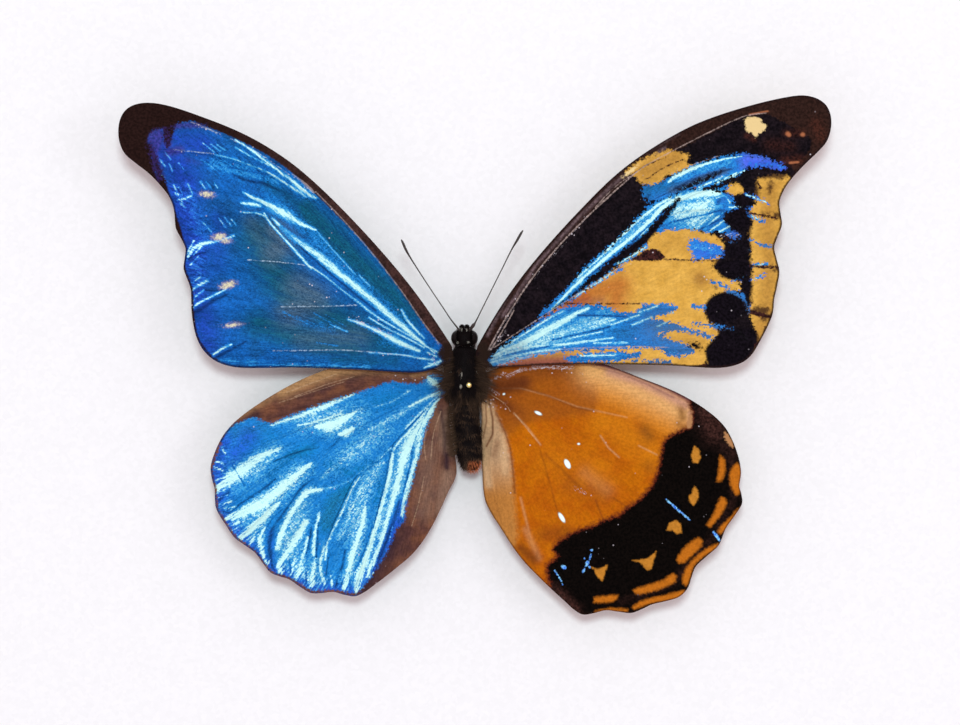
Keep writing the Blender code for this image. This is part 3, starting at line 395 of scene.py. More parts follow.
LEFT_HINDWING = {
    "root": (-3.2, -0.3),
    "base": [haze(1.4, 0.45, -2.4, 0.7, -3.1, 0.1, -2.4, -0.8, -2.6, -1.6, -1.9, -2.4)],
    "rings": [(-24, -9.5, 1.6), (-20.5, -15.5, 1.1), (-15.5, -19.5, 1.4), (-11, -21.5, 0.9)],
    "veins": [
        (-3.8, 0.3, -8, 1.2, -14, 0.7, -20, -1.1, -25.5, -3.4, -28.6, -5.6),
        (-6, -0.6, -9.5, -1.9, -13.3, -2.9, -20, -5.1, -26.5, -8.1, -30.8, -10.1),
        (-13.3, -4.2, -17, -5.9, -22.5, -9.6, -27.4, -13.2, -30.2, -14.8),
        (-8.5, -2.6, -15.4, -6.2, -19, -9.6, -24, -14.8, -27.8, -18.4),
        (-15.4, -6.2, -17.6, -8.6, -19.8, -11.7, -22.2, -15.9, -24, -19.8, -23.8, -22.4),
        (-3.9, -1.4, -6.7, -4.6, -9.1, -7.2, -11.1, -9.2, -13.3, -10.9, -14.8, -13.7, -17.6, -20,
            -18.9, -24.7), (-9.1, -7.2, -9.7, -9.6, -10.9, -15.5, -12.5, -21, -13.7, -25.1),
        (-4, -1.8, -5.3, -6, -6.9, -12, -9, -19, -10.6, -23), (-3.3, -2.4, -4, -7, -4.8, -12, -6.2, -19.4),
    ],
    "brown": [
        patch(-1.5, 1.6, -3.4, 1.3, -5, 1.15, -5.6, 0.3, -7.4, 0.2, -9.35, 0.45, -10.4, 0.15, -12.2, -0.45,
            -13.7, -1, -15.4, -1.55, -17.2, -2.1, -18.9, -2.75, -20.7, -3.4, -22.4, -4, -23.5, -4.55,
            -24.6, -4.4, -25.7, -3.95, -27.4, -4.4, -28.8, -5.2, -30.4, -7.3, -32.5, -7, -30, -3, -22, 2,
            -12, 5.5, -4, 4.5),
        patch(-1.6, -1, -3.45, -1.6, -4.3, -3.3, -5, -4.9, -5.6, -7, -6.2, -9.2, -6.7, -11.3, -7.3, -13.3,
            -7.6, -14.9, -7.75, -16.4, -8.7, -17.3, -9.3, -18.8, -10, -20.3, -10.9, -21.8, -11.95, -23.3,
            -12.9, -24.6, -13.4, -27, -8, -25, -1, -16, 0, -8),
        stroke(-30, -6.9, 0.2, -30.9, -9.8, 0.16, -30.5, -12.5, 0.1, -30.25, -14.8, 0.1),
        stroke(-30.25, -14.8, 0.1, -29.1, -16.9, 0.1, -27.9, -18.4, 0.12, -25.7, -20.1, 0.12),
        stroke(-25.7, -20.1, 0.12, -23.9, -22.4, 0.14, -21.6, -23.3, 0.14, -19, -24.9, 0.14),
        stroke(-19, -24.9, 0.16, -16.3, -24.8, 0.14, -13.7, -25.2, 0.2, -12.2, -24.3, 0.2),
    ],
    "tan": [
        haze(1.2, 1, -22.5, -0.6, -20, 0.5, -15.5, 2.1, -11, 2.6, -8, 2.4),
        haze(0.5, 0.5, -27.4, -3.6, -23.5, -1.4), haze(0.6, 0.4, -6.8, 1.2, -4.8, 1.6),
    ],
    "buff": [
        haze(1, 1.5, -2.6, -4.5, -2.4, -7), haze(0.8, 1.2, -2.6, -11, -3.2, -15),
        haze(0.45, 1.6, -4.8, -8, -5, -15),
    ],
    "soot": [
        haze(0.9, 1.6, -9.2, -18.6, -11.5, -22.5, -12.6, -24.6), haze(0.6, 1.2, -8.4, -16.6, -8, -19.5),
        haze(0.9, 0.35, -2.75, -8.4, -2.7, -10), haze(0.5, 0.35, -13, -0.3, -19, -2.4, -24, -4),
        haze(0.8, 0.6, -25.5, -3.6, -29.6, -6.2), haze(0.6, 0.25, -3.4, -3, -2.9, -6.5, -3, -8.5),
        haze(0.4, 0.3, -20.5, -1.6, -12.5, 1.2),
    ],
    # Painted highlights: bright streaks where the scales mirror the light
    "gleam": [
        glow(1,
            brush(-18.4, -5, 0.2, -17.6, -5, 0.4, -16.7, -4.9, 0.66, -15.8, -4.5, 0.56, -14.6, -3.8, 0.3,
                -13.5, -3.2, 0.12), brush(-15.6, -5.9, 0.2, -14.9, -5.8, 0.36, -14.1, -5.3, 0.26),
            brush(-22.6, -7.6, 0.1, -23.9, -8.1, 0.29, -25.3, -8.8, 0.49, -26.6, -9.8, 0.61,
                -27.9, -10.7, 0.7, -29.1, -11.6, 0.61, -30.2, -12.4, 0.49),
            brush(-19, -9.5, 0.15, -20.1, -10.3, 0.33, -21.3, -11.3, 0.49, -22.6, -12.4, 0.57,
                -23.9, -13.5, 0.61, -25.1, -14.3, 0.66, -26.6, -15.1, 0.61, -28.1, -15.8, 0.45,
                -29.2, -16, 0.29),
            brush(-22.8, -14.1, 0.15, -23.9, -15.1, 0.33, -25.1, -16.3, 0.41, -26.4, -17.5, 0.41,
                -27.4, -18.4, 0.29),
            brush(-24.5, -17.2, 0.15, -25.2, -18.6, 0.29, -24.9, -20, 0.25, -24.4, -21.3, 0.15),
            brush(-17.8, -12.6, 0.14, -18.9, -12.7, 0.26, -19.8, -13.2, 0.29, -20.8, -14.6, 0.25),
            brush(-20.9, -14.6, 0.2, -21.8, -16.2, 0.3, -22.6, -18, 0.33, -23, -19.6, 0.26),
            brush(-19.6, -16.4, 0.25, -20.5, -18.1, 0.37, -21.4, -19.5, 0.37, -22.3, -20.8, 0.33),
            brush(-22.3, -20.8, 0.3, -22.9, -21.8, 0.3, -22.6, -22.6, 0.2),
            brush(-18.05, -15.5, 0.14, -18.5, -18.1, 0.2, -18.7, -20.3, 0.2),
            brush(-19.4, -18.3, 0.16, -19.8, -20.3, 0.2, -20.3, -22, 0.28, -20.7, -23, 0.24),
            brush(-18.4, -20.9, 0.18, -18.8, -22.7, 0.28, -18.9, -24.1, 0.3),
            brush(-12.5, -14.6, 0.14, -12.8, -16.4, 0.3, -13.4, -18.5, 0.3, -14.1, -20.8, 0.34,
                -14.7, -23.4, 0.3, -15, -24.4, 0.25),
            brush(-9.2, -8.2, 0.16, -9.5, -10.5, 0.22, -10.2, -13.3, 0.24, -10.9, -15.9, 0.26,
                -11.7, -18.8, 0.28, -12.6, -21.4, 0.37, -13.3, -23.3, 0.41, -13.5, -24.6, 0.33),
            brush(-3.6, -1.7, 0.16, -4.7, -3.3, 0.29, -5.8, -4.9, 0.45, -6.8, -6.4, 0.57, -7.6, -8, 0.53,
                -8.1, -9.8, 0.41, -8.6, -11.8, 0.33, -9.1, -13.7, 0.3, -9.8, -16.1, 0.26,
                -10.4, -18.3, 0.26, -11.3, -20.9, 0.26, -12.2, -22.9, 0.28),
            brush(-5.1, 0.95, 0.15, -4.6, 0.6, 0.28, -4, 0.1, 0.26, -3.6, -0.2, 0.14)),
        glow(0.85,
            brush(-5.85, -6.1, 0.16, -6.3, -8.3, 0.2, -6.9, -10.5, 0.24, -7.5, -12.6, 0.28),
            brush(-7.5, -12.6, 0.3, -7.9, -14.4, 0.3, -8.1, -15.8, 0.2),
            brush(-4.4, -2.1, 0.1, -6.6, -4.9, 0.12, -8.4, -6.8, 0.14, -9.2, -7.8, 0.16),
            brush(-13.15, -11.1, 0.08, -14.1, -12.6, 0.1, -15.4, -15.5, 0.12, -16.7, -18.2, 0.14),
            brush(-16.7, -18.2, 0.14, -17.6, -20.2, 0.14, -17.9, -22, 0.16, -17.4, -23.8, 0.16),
            brush(-13.8, -1.1, 0.08, -15.4, -1.75, 0.16, -17.1, -2.5, 0.26, -18.8, -3.1, 0.26,
                -20.5, -3.8, 0.2, -22.2, -4.3, 0.16, -23.9, -4.9, 0.1),
            brush(-20.6, -4.9, 0.06, -18.8, -4.5, 0.08, -17.1, -4, 0.1, -15.4, -3.5, 0.1),
            brush(-3.5, -0.9, 0.14, -5, -1.5, 0.14, -7.2, -2.6, 0.1),
            brush(-3.5, -1.2, 0.1, -5.4, -3, 0.12, -7.6, -5.2, 0.12),
            brush(-13.4, -10.8, 0.08, -12.2, -9.9, 0.1, -10.9, -8.9, 0.12, -9.4, -7.5, 0.1),
            dashes(0.1, -29.7, -7.6, -29.3, -8.3, -30.6, -9.9, -29.6, -10.3, -30.4, -9.2, -29.5, -9.5,
                -15.4, -22.4, -15.8, -23.8, -16.6, -23, -16.4, -24.3, -30.2, -13.6, -29, -13.2,
                -30, -14.4, -28.6, -14, -29.4, -14.9, -28, -14.6, -28.7, -17, -27.6, -16.4,
                -26.4, -19.2, -25.8, -18.2, -21.4, -23, -21.1, -21.4, -17.3, -21, -17.1, -19.6,
                -11.6, -22.8, -11, -21.2, -9.6, -18.8, -9.2, -17, -24.4, -22, -23.9, -21)),
        glow(0.4,
            brush(-7.15, -0.65, 0.12, -9.3, -2, 0.1, -11.5, -2.7, 0.1),
            brush(-11.5, -5.9, 0.25, -13.2, -7.4, 0.4, -14.3, -8.4, 0.45, -15.6, -9.5, 0.4),
            brush(-15.6, -9.5, 0.35, -16.8, -10.3, 0.3, -17.6, -11.1, 0.2),
            brush(-14.1, -11.3, 0.1, -15.4, -12, 0.12, -16.9, -12.4, 0.14, -18.3, -12.7, 0.2),
            brush(-10.3, -9.3, 0.3, -11.5, -10.3, 0.5, -12.4, -11.8, 0.6, -13.4, -13.6, 0.5,
                -14.4, -15.8, 0.4, -15.6, -18.4, 0.3),
            brush(-5, -1.6, 0.2, -7.5, -3, 0.3, -10, -4.4, 0.35, -12, -5.4, 0.3),
            haze(1, 1.8, -19.5, -4.2, -13.5, -3.6), haze(1, 1.6, -23.5, -8.4, -29.6, -12.2),
            haze(1, 1.7, -20.5, -10.6, -24.6, -14, -28, -16.4),
            haze(1, 1.6, -6, -5.5, -8.4, -11, -11, -20, -13.4, -23.8),
            haze(1, 2, -20.8, -14.6, -21.8, -18, -21.5, -21.5, -19, -23.4),
            haze(1, 1.4, -11.4, -10.4, -13.6, -15, -13.6, -20, -14.8, -23.5),
            haze(0.8, 1.5, -10.5, -5.6, -15.5, -9.4),
            dashes(0.12, -30.2, -12, -27.6, -9.6, -29.6, -12.6, -26.6, -10.9, -28.7, -15, -24.6, -12.6,
                -27, -16.4, -23.2, -14.6, -21.4, -15.4, -22.6, -20, -13.6, -11, -14.6, -15.4)),
    ],
    # Painted shade in the creases of the folds
    "fold_shade": [
        brush(-3.7, -1.4, 0.07, -6.7, -4.5, 0.07, -9.1, -7.1, 0.07, -11.1, -9.1, 0.08),
        brush(-11.1, -9.1, 0.08, -13.3, -10.8, 0.09, -14.2, -12, 0.07, -15.1, -13.9, 0.07),
        brush(-15.1, -13.9, 0.07, -16.4, -17, 0.06, -17.4, -19.6, 0.06),
        brush(-9.1, -7.2, 0.06, -9.65, -9.2, 0.06, -10.1, -11.8, 0.07, -10.9, -14.8, 0.07,
            -11.5, -17.2, 0.06),
        brush(-18.7, -11.3, 0.09, -20.2, -12.4, 0.11, -21.1, -13.7, 0.12, -21.9, -14.8, 0.12,
            -22.8, -16.1, 0.2, -23.6, -17.4, 0.26, -24, -18.8, 0.3, -23.9, -20.2, 0.3, -23.7, -21.6, 0.15,
            -23.3, -22.4, 0.1),
        brush(-22.4, -14.9, 0.05, -23.7, -16.2, 0.06, -24.6, -17.6, 0.06, -25, -18.6, 0.05),
        brush(-23.3, -11.3, 0.1, -24.6, -12.4, 0.14, -26.4, -13.6, 0.16, -27.9, -14.6, 0.14),
        brush(-27.9, -14.7, 0.1, -28.9, -15.4, 0.09, -29.6, -15.2, 0.06),
        brush(-19, -17.4, 0.1, -19.2, -18.8, 0.14, -19.6, -20.2, 0.12, -20.2, -21.8, 0.1),
        brush(-18.15, -16.6, 0.1, -18.3, -19.2, 0.14, -18.4, -21.4, 0.1),
        brush(-14.9, -19.9, 0.12, -15.4, -22.3, 0.2, -16, -24.2, 0.16),
        brush(-8.4, -14, 0.16, -9.3, -17, 0.26, -10.2, -19.4, 0.26, -11.4, -22.3, 0.2),
        brush(-11.6, -16.8, 0.06, -12.6, -20, 0.07, -13.7, -22.2, 0.07),
        brush(-15.5, -6.3, 0.05, -16.2, -7.1, 0.06, -17, -7.8, 0.05),
        brush(-28.5, -9.6, 0.05, -27, -12, 0.06), brush(-28.9, -12.9, 0.14, -30.1, -13.9, 0.2),
        brush(-23.5, -9.2, 0.09, -21, -8.2, 0.12, -18.6, -7.6, 0.1),
        brush(-6.7, -8, 0.05, -7.4, -11, 0.06, -8.5, -15.4, 0.06),
        brush(-5, -3.2, 0.04, -6.5, -6.5, 0.05, -7, -8.5, 0.05),
        brush(-21.6, -21, 0.06, -21.4, -22.6, 0.09), brush(-19.6, -22.6, 0.06, -19.6, -23.9, 0.07),
        brush(-16.9, -20.8, 0.1, -17.2, -22.8, 0.12), brush(-14.4, -22.6, 0.05, -14.3, -24.6, 0.07),
    ],
    "teal": [
        haze(1, 1.1, -14.6, -12.6, -16.4, -14.2, -17.2, -16.8),
        haze(0.9, 0.8, -12, -9.6, -14.5, -10.5, -16.6, -9.6), haze(0.8, 0.8, -10.6, -11.4, -11.2, -13.6),
        haze(0.7, 1.2, -19.5, -7.8, -23.5, -10), haze(0.6, 1.2, -9, -1.6, -14, -3),
        haze(0.5, 1.2, -24, -6.3, -27, -8.6),
    ],
    "grey": [haze(0.4, 1, -15.8, -13.8, -17.2, -16.4), haze(0.5, 0.9, -24.5, -4.8, -28, -5.8)],
    "violet": [
        haze(1, 1.4, -29.6, -7, -30.3, -10.2, -30.4, -13.6), haze(0.7, 1.3, -26.5, -6.4, -28.6, -8.6),
        haze(0.9, 0.9, -7.6, -14.5, -9, -17.4, -11, -21.6, -12.6, -24),
        haze(0.9, 1, -29.8, -15.6, -27, -19, -23.8, -22.2, -19, -24.6, -13.5, -25),
        haze(0.5, 0.5, -23.8, -17.8, -23.8, -21),
    ],
    "dust": [haze(0.6, 0.5, -10, 0.9, -5.8, 0.8)],
    "pale": [
        line(0.05, -5.1, -5.5, -5.4, -7, -5.2, -9), line(0.05, -5.4, -11, -6, -14, -6.9, -17),
        line(0.05, -13.8, 1, -17, 0.1, -21, -1.4), line(0.06, -3.4, -3.2, -4.3, -6, -4.6, -9),
        line(0.05, -22, -0.9, -16, 1.3), line(0.04, -23, -2.2, -15, 0.4),
    ],
}

RIGHT_FOREWING = {
    "root": (2, 3.8),
    "base": [haze(1.5, 0.6, 1.2, 1.4, 2.1, 2.2, 1.5, 3, 2, 3.8, 1.6, 4.6)],
    "rings": [(30, 25.5, 1.3), (32, 19, 0.9), (31.5, 14, 0.9), (30.5, 8, 1.6)],
    "veins": [
        (2.4, 4.6, 4.4, 8.1, 7.5, 12.8, 10.6, 16.6, 14.3, 20.4, 17.7, 23.6, 20.8, 26.2, 24.2, 28,
            28.4, 30.2, 32.7, 32.2, 35.6, 32.7),
        (15.1, 21.2, 18.2, 24.3, 19.9, 25.4, 24.2, 26.4, 27.3, 27.4, 31.5, 28.3, 37.5, 29.5, 41, 29.6),
        (21.1, 23.5, 24.2, 25.2, 27.3, 26.5, 30.1, 27.4, 34.1, 27.5, 37.8, 26.6, 39.8, 26.4),
        (2.4, 3.9, 5.8, 6.2, 10, 9, 12.9, 10.9, 16, 12.9, 18.8, 14.8, 21.7, 17.9, 23.5, 20.2, 24.8, 21.8,
            28, 23.3, 33, 24.2, 38, 24.4),
        (18.8, 14.8, 21, 14.95, 23.6, 15, 28.5, 14.9, 33, 14.5, 36.9, 14.1),
        (10.9, 9.6, 15, 9.6, 22, 9.3, 29, 9, 36.1, 8.5), (23.5, 20.2, 26, 21, 31, 21, 36.9, 20.2),
        (2.4, 3.2, 8, 4, 15, 4.35, 25, 4.4, 33.9, 4.3),
    ],
    "brown": [
        patch(0.5, 4, 2.2, 4.4, 3.5, 6.6, 5.2, 9.5, 7.6, 12.9, 10.6, 16.5, 14, 20, 17.4, 23.2, 20.8, 25.9,
            24.4, 27.8, 28.4, 29.9, 32.7, 32, 35.4, 32.5, 39, 30.8, 41, 29.2, 40.2, 27.4, 38.6, 26, 42, 25,
            47, 31, 40, 37, 28, 34, 16, 26, 4, 13, 0, 6),
    ],
    "ochre": [
        patch(18.6, 25.6, 19.9, 26.5, 21.6, 27.45, 22.8, 27.9, 24.2, 28.15, 25.5, 27.9, 26.2, 27.6,
            26.4, 27.1, 26, 26.75, 26.8, 26.15, 25.6, 25.75, 24.8, 25.4, 23.7, 25.1, 23.2, 24.6,
            22.7, 24.05, 21.9, 23.75, 21.1, 24, 20.3, 24.5, 19.9, 25.05, 19.5, 25.4),
        patch(3.6, 1.7, 8, 1.8, 18, 1.9, 25, 1.9, 28.2, 2.3, 28.5, 3.4, 28.5, 4.3, 29.2, 5.2, 30, 6.2,
            28.9, 7.4, 28.4, 8.5, 28.4, 9.6, 29.2, 10.6, 30.6, 11.15, 32.5, 11.5, 32.4, 12.2, 31.2, 12.75,
            30.4, 13.1, 29.7, 13.9, 29.7, 15, 30.4, 15.8, 30.6, 16.7, 29.6, 17.8, 27.4, 18.6, 24.6, 18.9,
            22.9, 18.6, 21.9, 17.9, 21.3, 16.8, 19.3, 15.2, 17.2, 13.7, 14.8, 11.9, 12.4, 10.4, 10.2, 9,
            7.2, 6.6, 4.4, 4.2, 3.4, 2.6),
        patch(34.8, 24.8, 34.4, 23.6, 34.4, 22.1, 33.7, 20.8, 33.95, 19.3, 33.6, 18.1, 33.8, 16.2,
            33.75, 14.6, 33.8, 13.2, 33.95, 11.9, 33.5, 10.5, 33.65, 9, 33.9, 7.6, 34.5, 6, 34.4, 4.6,
            33.8, 3.4, 32.8, 2.2, 34.5, 1.5, 37, 4, 40, 14, 39, 24.2),
        patch(30.7, 23.2, 31.2, 23.9, 32, 24.1, 32.8, 23.8, 32.8, 23.05, 31.6, 22.8),
    ],
    "rust": [
        haze(1, 1.5, 4, 4.4, 9, 7.4, 14, 10.6), haze(0.8, 1.6, 13.5, 10.6, 18, 12, 17.5, 10),
        haze(0.6, 1, 12.5, 2.5, 16, 2.3),
    ],
    "russet": [haze(1, 1.2, 3, 2.3, 8, 2.7, 11.5, 2.7), haze(0.5, 0.5, 11.4, 9.9, 16, 10.2)],
    "olive": [
        haze(1, 0.9, 27.6, 12.9, 27.9, 12.6), haze(0.4, 1, 24.5, 5.3, 27.5, 5.2),
        haze(0.7, 1.2, 36.2, 23.6, 35.8, 19, 36, 14, 35.6, 9, 34.8, 5),
        haze(0.8, 1.4, 21, 25.4, 24.6, 27.2), haze(0.3, 1.4, 24, 17, 28, 17.6),
    ],
    "dust": [
        haze(1, 0.4, 30.4, 17.9, 32.2, 18), haze(0.7, 0.3, 3, 5.4, 7, 12, 14, 20),
        haze(0.8, 0.4, 2.6, 4.4, 4.4, 6.4), haze(0.5, 1.2, 27.4, 12.6, 28.2, 12.4),
    ],
    "cream": [
        patch(33.1, 31.2, 33, 31.95, 34.1, 32.1, 34.95, 31.8, 35.2, 31.35, 35.7, 31, 35.4, 30.5, 34.8, 30.1,
            34.2, 29.65, 33.95, 30.2, 33.25, 30.5), oval(19.4, 25.7, 0.9, 0.2, 38),
    ],
    "ruddy": [
        haze(0.5, 0.8, 41.6, 31.2, 42.2, 29.8), haze(0.6, 0.6, 37.8, 26.9, 39.6, 27),
        haze(0.4, 0.5, 38, 30.2, 40, 30.2), haze(0.6, 0.3, 33.2, 29.9, 34.2, 29.4),
        haze(0.3, 0.8, 36, 28.8, 38.5, 28.6), haze(0.5, 0.4, 27.2, 24.1, 27.7, 23.9),
        haze(0.5, 0.4, 31, 17.9, 31.4, 17.7), haze(0.5, 0.35, 30, 11.8, 30.6, 11.5),
    ],
    "tan": [
        haze(1, 0.34, 38.15, 30.1, 38.3, 30), haze(0.9, 0.3, 39.9, 30, 40.05, 30),
        haze(0.9, 0.2, 38.4, 26.6, 39.4, 26.7), haze(0.9, 0.3, 27.15, 23.8, 27.3, 23.8),
        haze(0.8, 0.16, 33.6, 32.4, 35.8, 32.8),
    ],
    "sooty": [
        haze(1.1, 0.7, 34.6, 25.4, 37.4, 25.2), haze(0.9, 0.7, 34.2, 24, 34.4, 22.8),
        haze(0.8, 0.5, 36.2, 24.2, 36, 23.2), haze(1.1, 0.6, 34.4, 8.9, 35.6, 8.9),
        haze(0.9, 0.5, 35.4, 8, 36.2, 8.4), haze(0.9, 0.5, 36.8, 20.3, 37.3, 20.3),
        haze(0.9, 0.5, 36.8, 13.9, 37.4, 14.1), haze(0.8, 0.5, 34.4, 6, 34.6, 5),
        haze(0.7, 0.5, 33.7, 12, 33.8, 10), haze(0.7, 0.5, 33.4, 17, 33.6, 19),
        haze(0.5, 0.6, 35, 20.4, 36.4, 20.6), haze(0.6, 0.4, 29.2, 12.6, 29.6, 11.6),
    ],
    "edge": [
        haze(1.1, 0.24, 2.2, 6, 5, 11.6, 9, 17.4, 14.5, 22.8, 20, 27.4, 25, 30.2),
        haze(1, 0.22, 4, 8.2, 8.2, 14.6, 13.2, 20.1, 17.8, 24.5, 23.5, 28.4),
    ],
    "blue": [
        patch(20.7, 23.4, 21.2, 24, 22.2, 24.1, 23.4, 24.5, 24.5, 25.1, 26, 26, 28.4, 26.8, 30.2, 27.3,
            32.2, 27.7, 33.8, 27.5, 35.3, 27.3, 36.6, 26.8, 37.9, 26.2, 37.7, 25.8, 36.5, 25.9, 35.2, 26.1,
            33.6, 26.1, 32.4, 25.3, 30.6, 24.6, 29.4, 24, 27.5, 23.6, 26, 23.3, 24, 22.6, 21.9, 22,
            20.9, 22.6),
        patch(8.4, 8.3, 10, 9.9, 11.5, 11.2, 13.7, 13.8, 16, 15.9, 18.2, 17.8, 19.7, 19.4, 21.1, 21,
            22.8, 22.1, 24.4, 22.8, 25, 22.6, 24.9, 21.9, 23.9, 21.3, 22.8, 20.2, 21.9, 19, 20.5, 17.6,
            18.8, 16.5, 17.1, 15.2, 15.4, 13.7, 13.7, 12, 12, 10.4, 9.75, 8.7),
        stroke(17.5, 14.4, 0.1, 18.8, 14.9, 0.16, 20.1, 15.7, 0.16, 21.4, 16.8, 0.1),
        stroke(12.4, 10.3, 0.08, 14.85, 12, 0.15, 17.2, 13.5, 0.14, 18.4, 14, 0.08),
        patch(25, 22.85, 26.4, 23.5, 28.4, 23.5, 30.1, 23.1, 31.4, 22.7, 31.7, 21.9, 30.8, 20.9, 30.6, 19.9,
            31.2, 19.1, 32.2, 18.4, 32.4, 17.5, 31.3, 17.9, 29.7, 18.4, 28.1, 18.4, 27, 18.6, 25.6, 18.7,
            24.2, 18.6, 23.1, 18.4, 22.3, 18.4, 23.4, 20, 24.6, 21.4),
        patch(26.6, 17.5, 28.2, 17.3, 29.3, 16.8, 30.3, 16.5, 30.6, 15.7, 29.6, 15.25, 28.4, 15.1,
            26.6, 15.05, 26.9, 15.6, 26.4, 16.3),
        patch(2.4, 2.4, 2.5, 3.3, 4.4, 4.85, 6.9, 6.7, 9.2, 8.2, 10.9, 9.1, 12.6, 9.6, 14.85, 9.75,
            16.5, 9.4, 17.7, 8.9, 19.4, 8.75, 20.4, 9, 20.8, 9.6, 22.5, 9.75, 24.9, 9.5, 24.4, 8.8,
            23.3, 8.4, 22.2, 8.1, 23.8, 7.7, 25.6, 7.1, 27.4, 6.5, 29.5, 5.7, 29.3, 5.3, 27.6, 6, 25.6, 6.4,
            23.6, 6.3, 22.9, 6, 24.5, 5.4, 26.4, 4.7, 27, 4.15, 26.4, 3.6, 25, 3.4, 23.8, 3.5, 23.3, 4.1,
            22, 4.4, 20, 4.4, 17.1, 4.3, 14.3, 4.15, 11.5, 4, 8.6, 3.6, 5.8, 3, 3.8, 2.3, 2.8, 1.9),
        patch(11.5, 3.2, 12.6, 3.6, 14.85, 3.9, 17.7, 4, 19, 3.9, 20.5, 3.9, 20.5, 3.4, 18.8, 3, 16, 2.7,
            12.6, 2.65), stroke(19.7, 3, 0.1, 22, 2.8, 0.14, 24.2, 2.7, 0.08),
        stroke(33, 22.9, 0.12, 34.3, 22.45, 0.16, 35.9, 21.8, 0.1),
        stroke(31.1, 21.25, 0.1, 32.4, 21.35, 0.14, 33.7, 21.2, 0.1),
        stroke(33.4, 20.45, 0.14, 34.3, 20.1, 0.2, 35.3, 19.6, 0.12),
        stroke(33.8, 17.3, 0.1, 35.1, 16.9, 0.16, 36.4, 16.5, 0.12),
        stroke(31.5, 17, 0.08, 32.6, 16.6, 0.1, 33.7, 16.1, 0.07),
        stroke(33.4, 14.1, 0.14, 34.6, 14.45, 0.2, 35.6, 14.5, 0.1),
        stroke(33.6, 12.4, 0.06, 35.4, 13.2, 0.1), stroke(31.5, 12.5, 0.1, 33.1, 13.1, 0.08),
        stroke(29.2, 12.25, 0.14, 30.1, 12.1, 0.2, 30.8, 11.8, 0.12),
        stroke(31, 11.2, 0.2, 32.2, 10.9, 0.26, 33.1, 10.3, 0.28, 33.7, 8.9, 0.16),
        stroke(27, 7.35, 0.08, 29.9, 7, 0.13, 32.1, 6.4, 0.12, 33.9, 5.3, 0.08),
        stroke(27, 9.45, 0.2, 28.4, 9.25, 0.3), stroke(29.4, 22.6, 0.3, 31.2, 22.2, 0.4),
        stroke(30, 20.7, 0.25, 31.6, 21.3, 0.3), oval(30.4, 23.5, 0.5, 0.2, 20),
    ],
    "slate": [
        haze(1, 2.4, 23, 7, 29, 4.4), haze(0.9, 1, 27, 7.2, 34, 5.2), haze(0.8, 0.9, 31, 11.2, 33.6, 8.8),
        haze(0.9, 0.7, 20, 2.9, 24.4, 2.7), haze(0.6, 1.3, 2.4, 2.6, 6, 4.2),
        haze(0.6, 0.8, 26.8, 9.4, 30.6, 11.9), haze(0.7, 0.7, 33.8, 17.2, 36.4, 16.5),
        haze(0.7, 0.6, 31.5, 17, 33.7, 16.1),
    ],
    "violet": [
        haze(1, 1.2, 33.5, 26.8, 37.8, 26), haze(0.6, 1, 27.6, 16.3, 30.4, 15.9),
        haze(0.5, 0.8, 32, 17.8, 33, 22.8, 35.8, 21.8), haze(0.7, 0.7, 31.5, 12.6, 35.4, 13.2),
    ],
    "teal": [haze(0.8, 1, 21.4, 23.4, 25, 24.2), haze(0.6, 1.6, 12, 7, 19, 6.2)],
    "grey": [haze(0.9, 0.5, 24.4, 23.3, 27.4, 24.5, 30.6, 25.6)],
    # Painted highlights: bright streaks where the scales mirror the light
    "gleam": [
        glow(1,
            brush(3, 3.5, 0.14, 4.9, 4.4, 0.2, 6.9, 5.2, 0.36, 8.9, 6.3, 0.42, 10.9, 7.4, 0.34,
                12.6, 8.4, 0.24, 14.3, 9.2, 0.14),
            brush(10, 9.1, 0.08, 12.3, 11.5, 0.14, 14.8, 13.8, 0.2, 17.1, 15.8, 0.2, 19.4, 17.6, 0.18,
                21.5, 19.5, 0.22, 23.3, 21.3, 0.26, 24.6, 22.2, 0.2),
            brush(25, 22.4, 0.3, 26.7, 22.7, 0.42, 28.4, 23, 0.4, 29.9, 23, 0.25),
            brush(23.9, 24.3, 0.12, 25, 25.1, 0.24, 26.7, 25.9, 0.2, 28.4, 26.5, 0.12, 30.7, 27.1, 0.08,
                32.7, 27.4, 0.05)),
        glow(0.8,
            brush(13, 12.9, 0.07, 15.5, 15.1, 0.1, 18, 17.6, 0.14, 20.3, 19.7, 0.16, 22.3, 21.3, 0.16,
                24.2, 22.5, 0.14),
            brush(2.8, 3.1, 0.14, 4.9, 3.9, 0.16, 7.2, 4.5, 0.16, 11.5, 4.9, 0.16, 17.4, 5.7, 0.08),
            brush(2.6, 2.7, 0.12, 4.6, 3.2, 0.12, 7.4, 3.9, 0.1, 11, 4.3, 0.08),
            brush(3.6, 4.2, 0.08, 6.6, 6.1, 0.1, 9.6, 8, 0.1, 11.4, 8.9, 0.08),
            brush(12.6, 10.5, 0.08, 14.9, 12, 0.1, 17.2, 13.5, 0.12),
            brush(17.8, 14.6, 0.1, 19.4, 15.4, 0.12, 21.2, 16.6, 0.1),
            brush(20.4, 17.8, 0.1, 22.2, 19.6, 0.1),
            dashes(0.09, 25.6, 23.6, 29, 24.9, 27.6, 23.7, 30.6, 25, 29.4, 24.1, 32, 25.4,
                31, 24.6, 33, 25.7, 28.2, 18.8, 30.4, 20.6, 29, 18.6, 31, 20, 29.8, 18.3, 31.6, 19.2,
                27.4, 18.9, 29.4, 20.7, 33.2, 22.8, 34.3, 22.45, 34.5, 22.3, 35.6, 21.9,
                33.9, 20.3, 34.8, 19.85, 31.2, 21.3, 32.8, 21.4, 29.6, 22.4, 30.6, 22.7,
                30.8, 22.6, 31.3, 21.8, 33.8, 14.2, 35.2, 14.5, 32.6, 16.6, 33.6, 16.2,
                31.6, 12.5, 33, 13.1, 34, 12.6, 35.4, 13.2, 22.6, 7, 25.6, 8.6, 24.2, 8.6, 26.2, 9.3,
                19.6, 7.2, 22, 8.2, 14.4, 6.9, 17.6, 7.9, 17, 7.2, 20.4, 8.4, 12, 5.6, 16, 6.4,
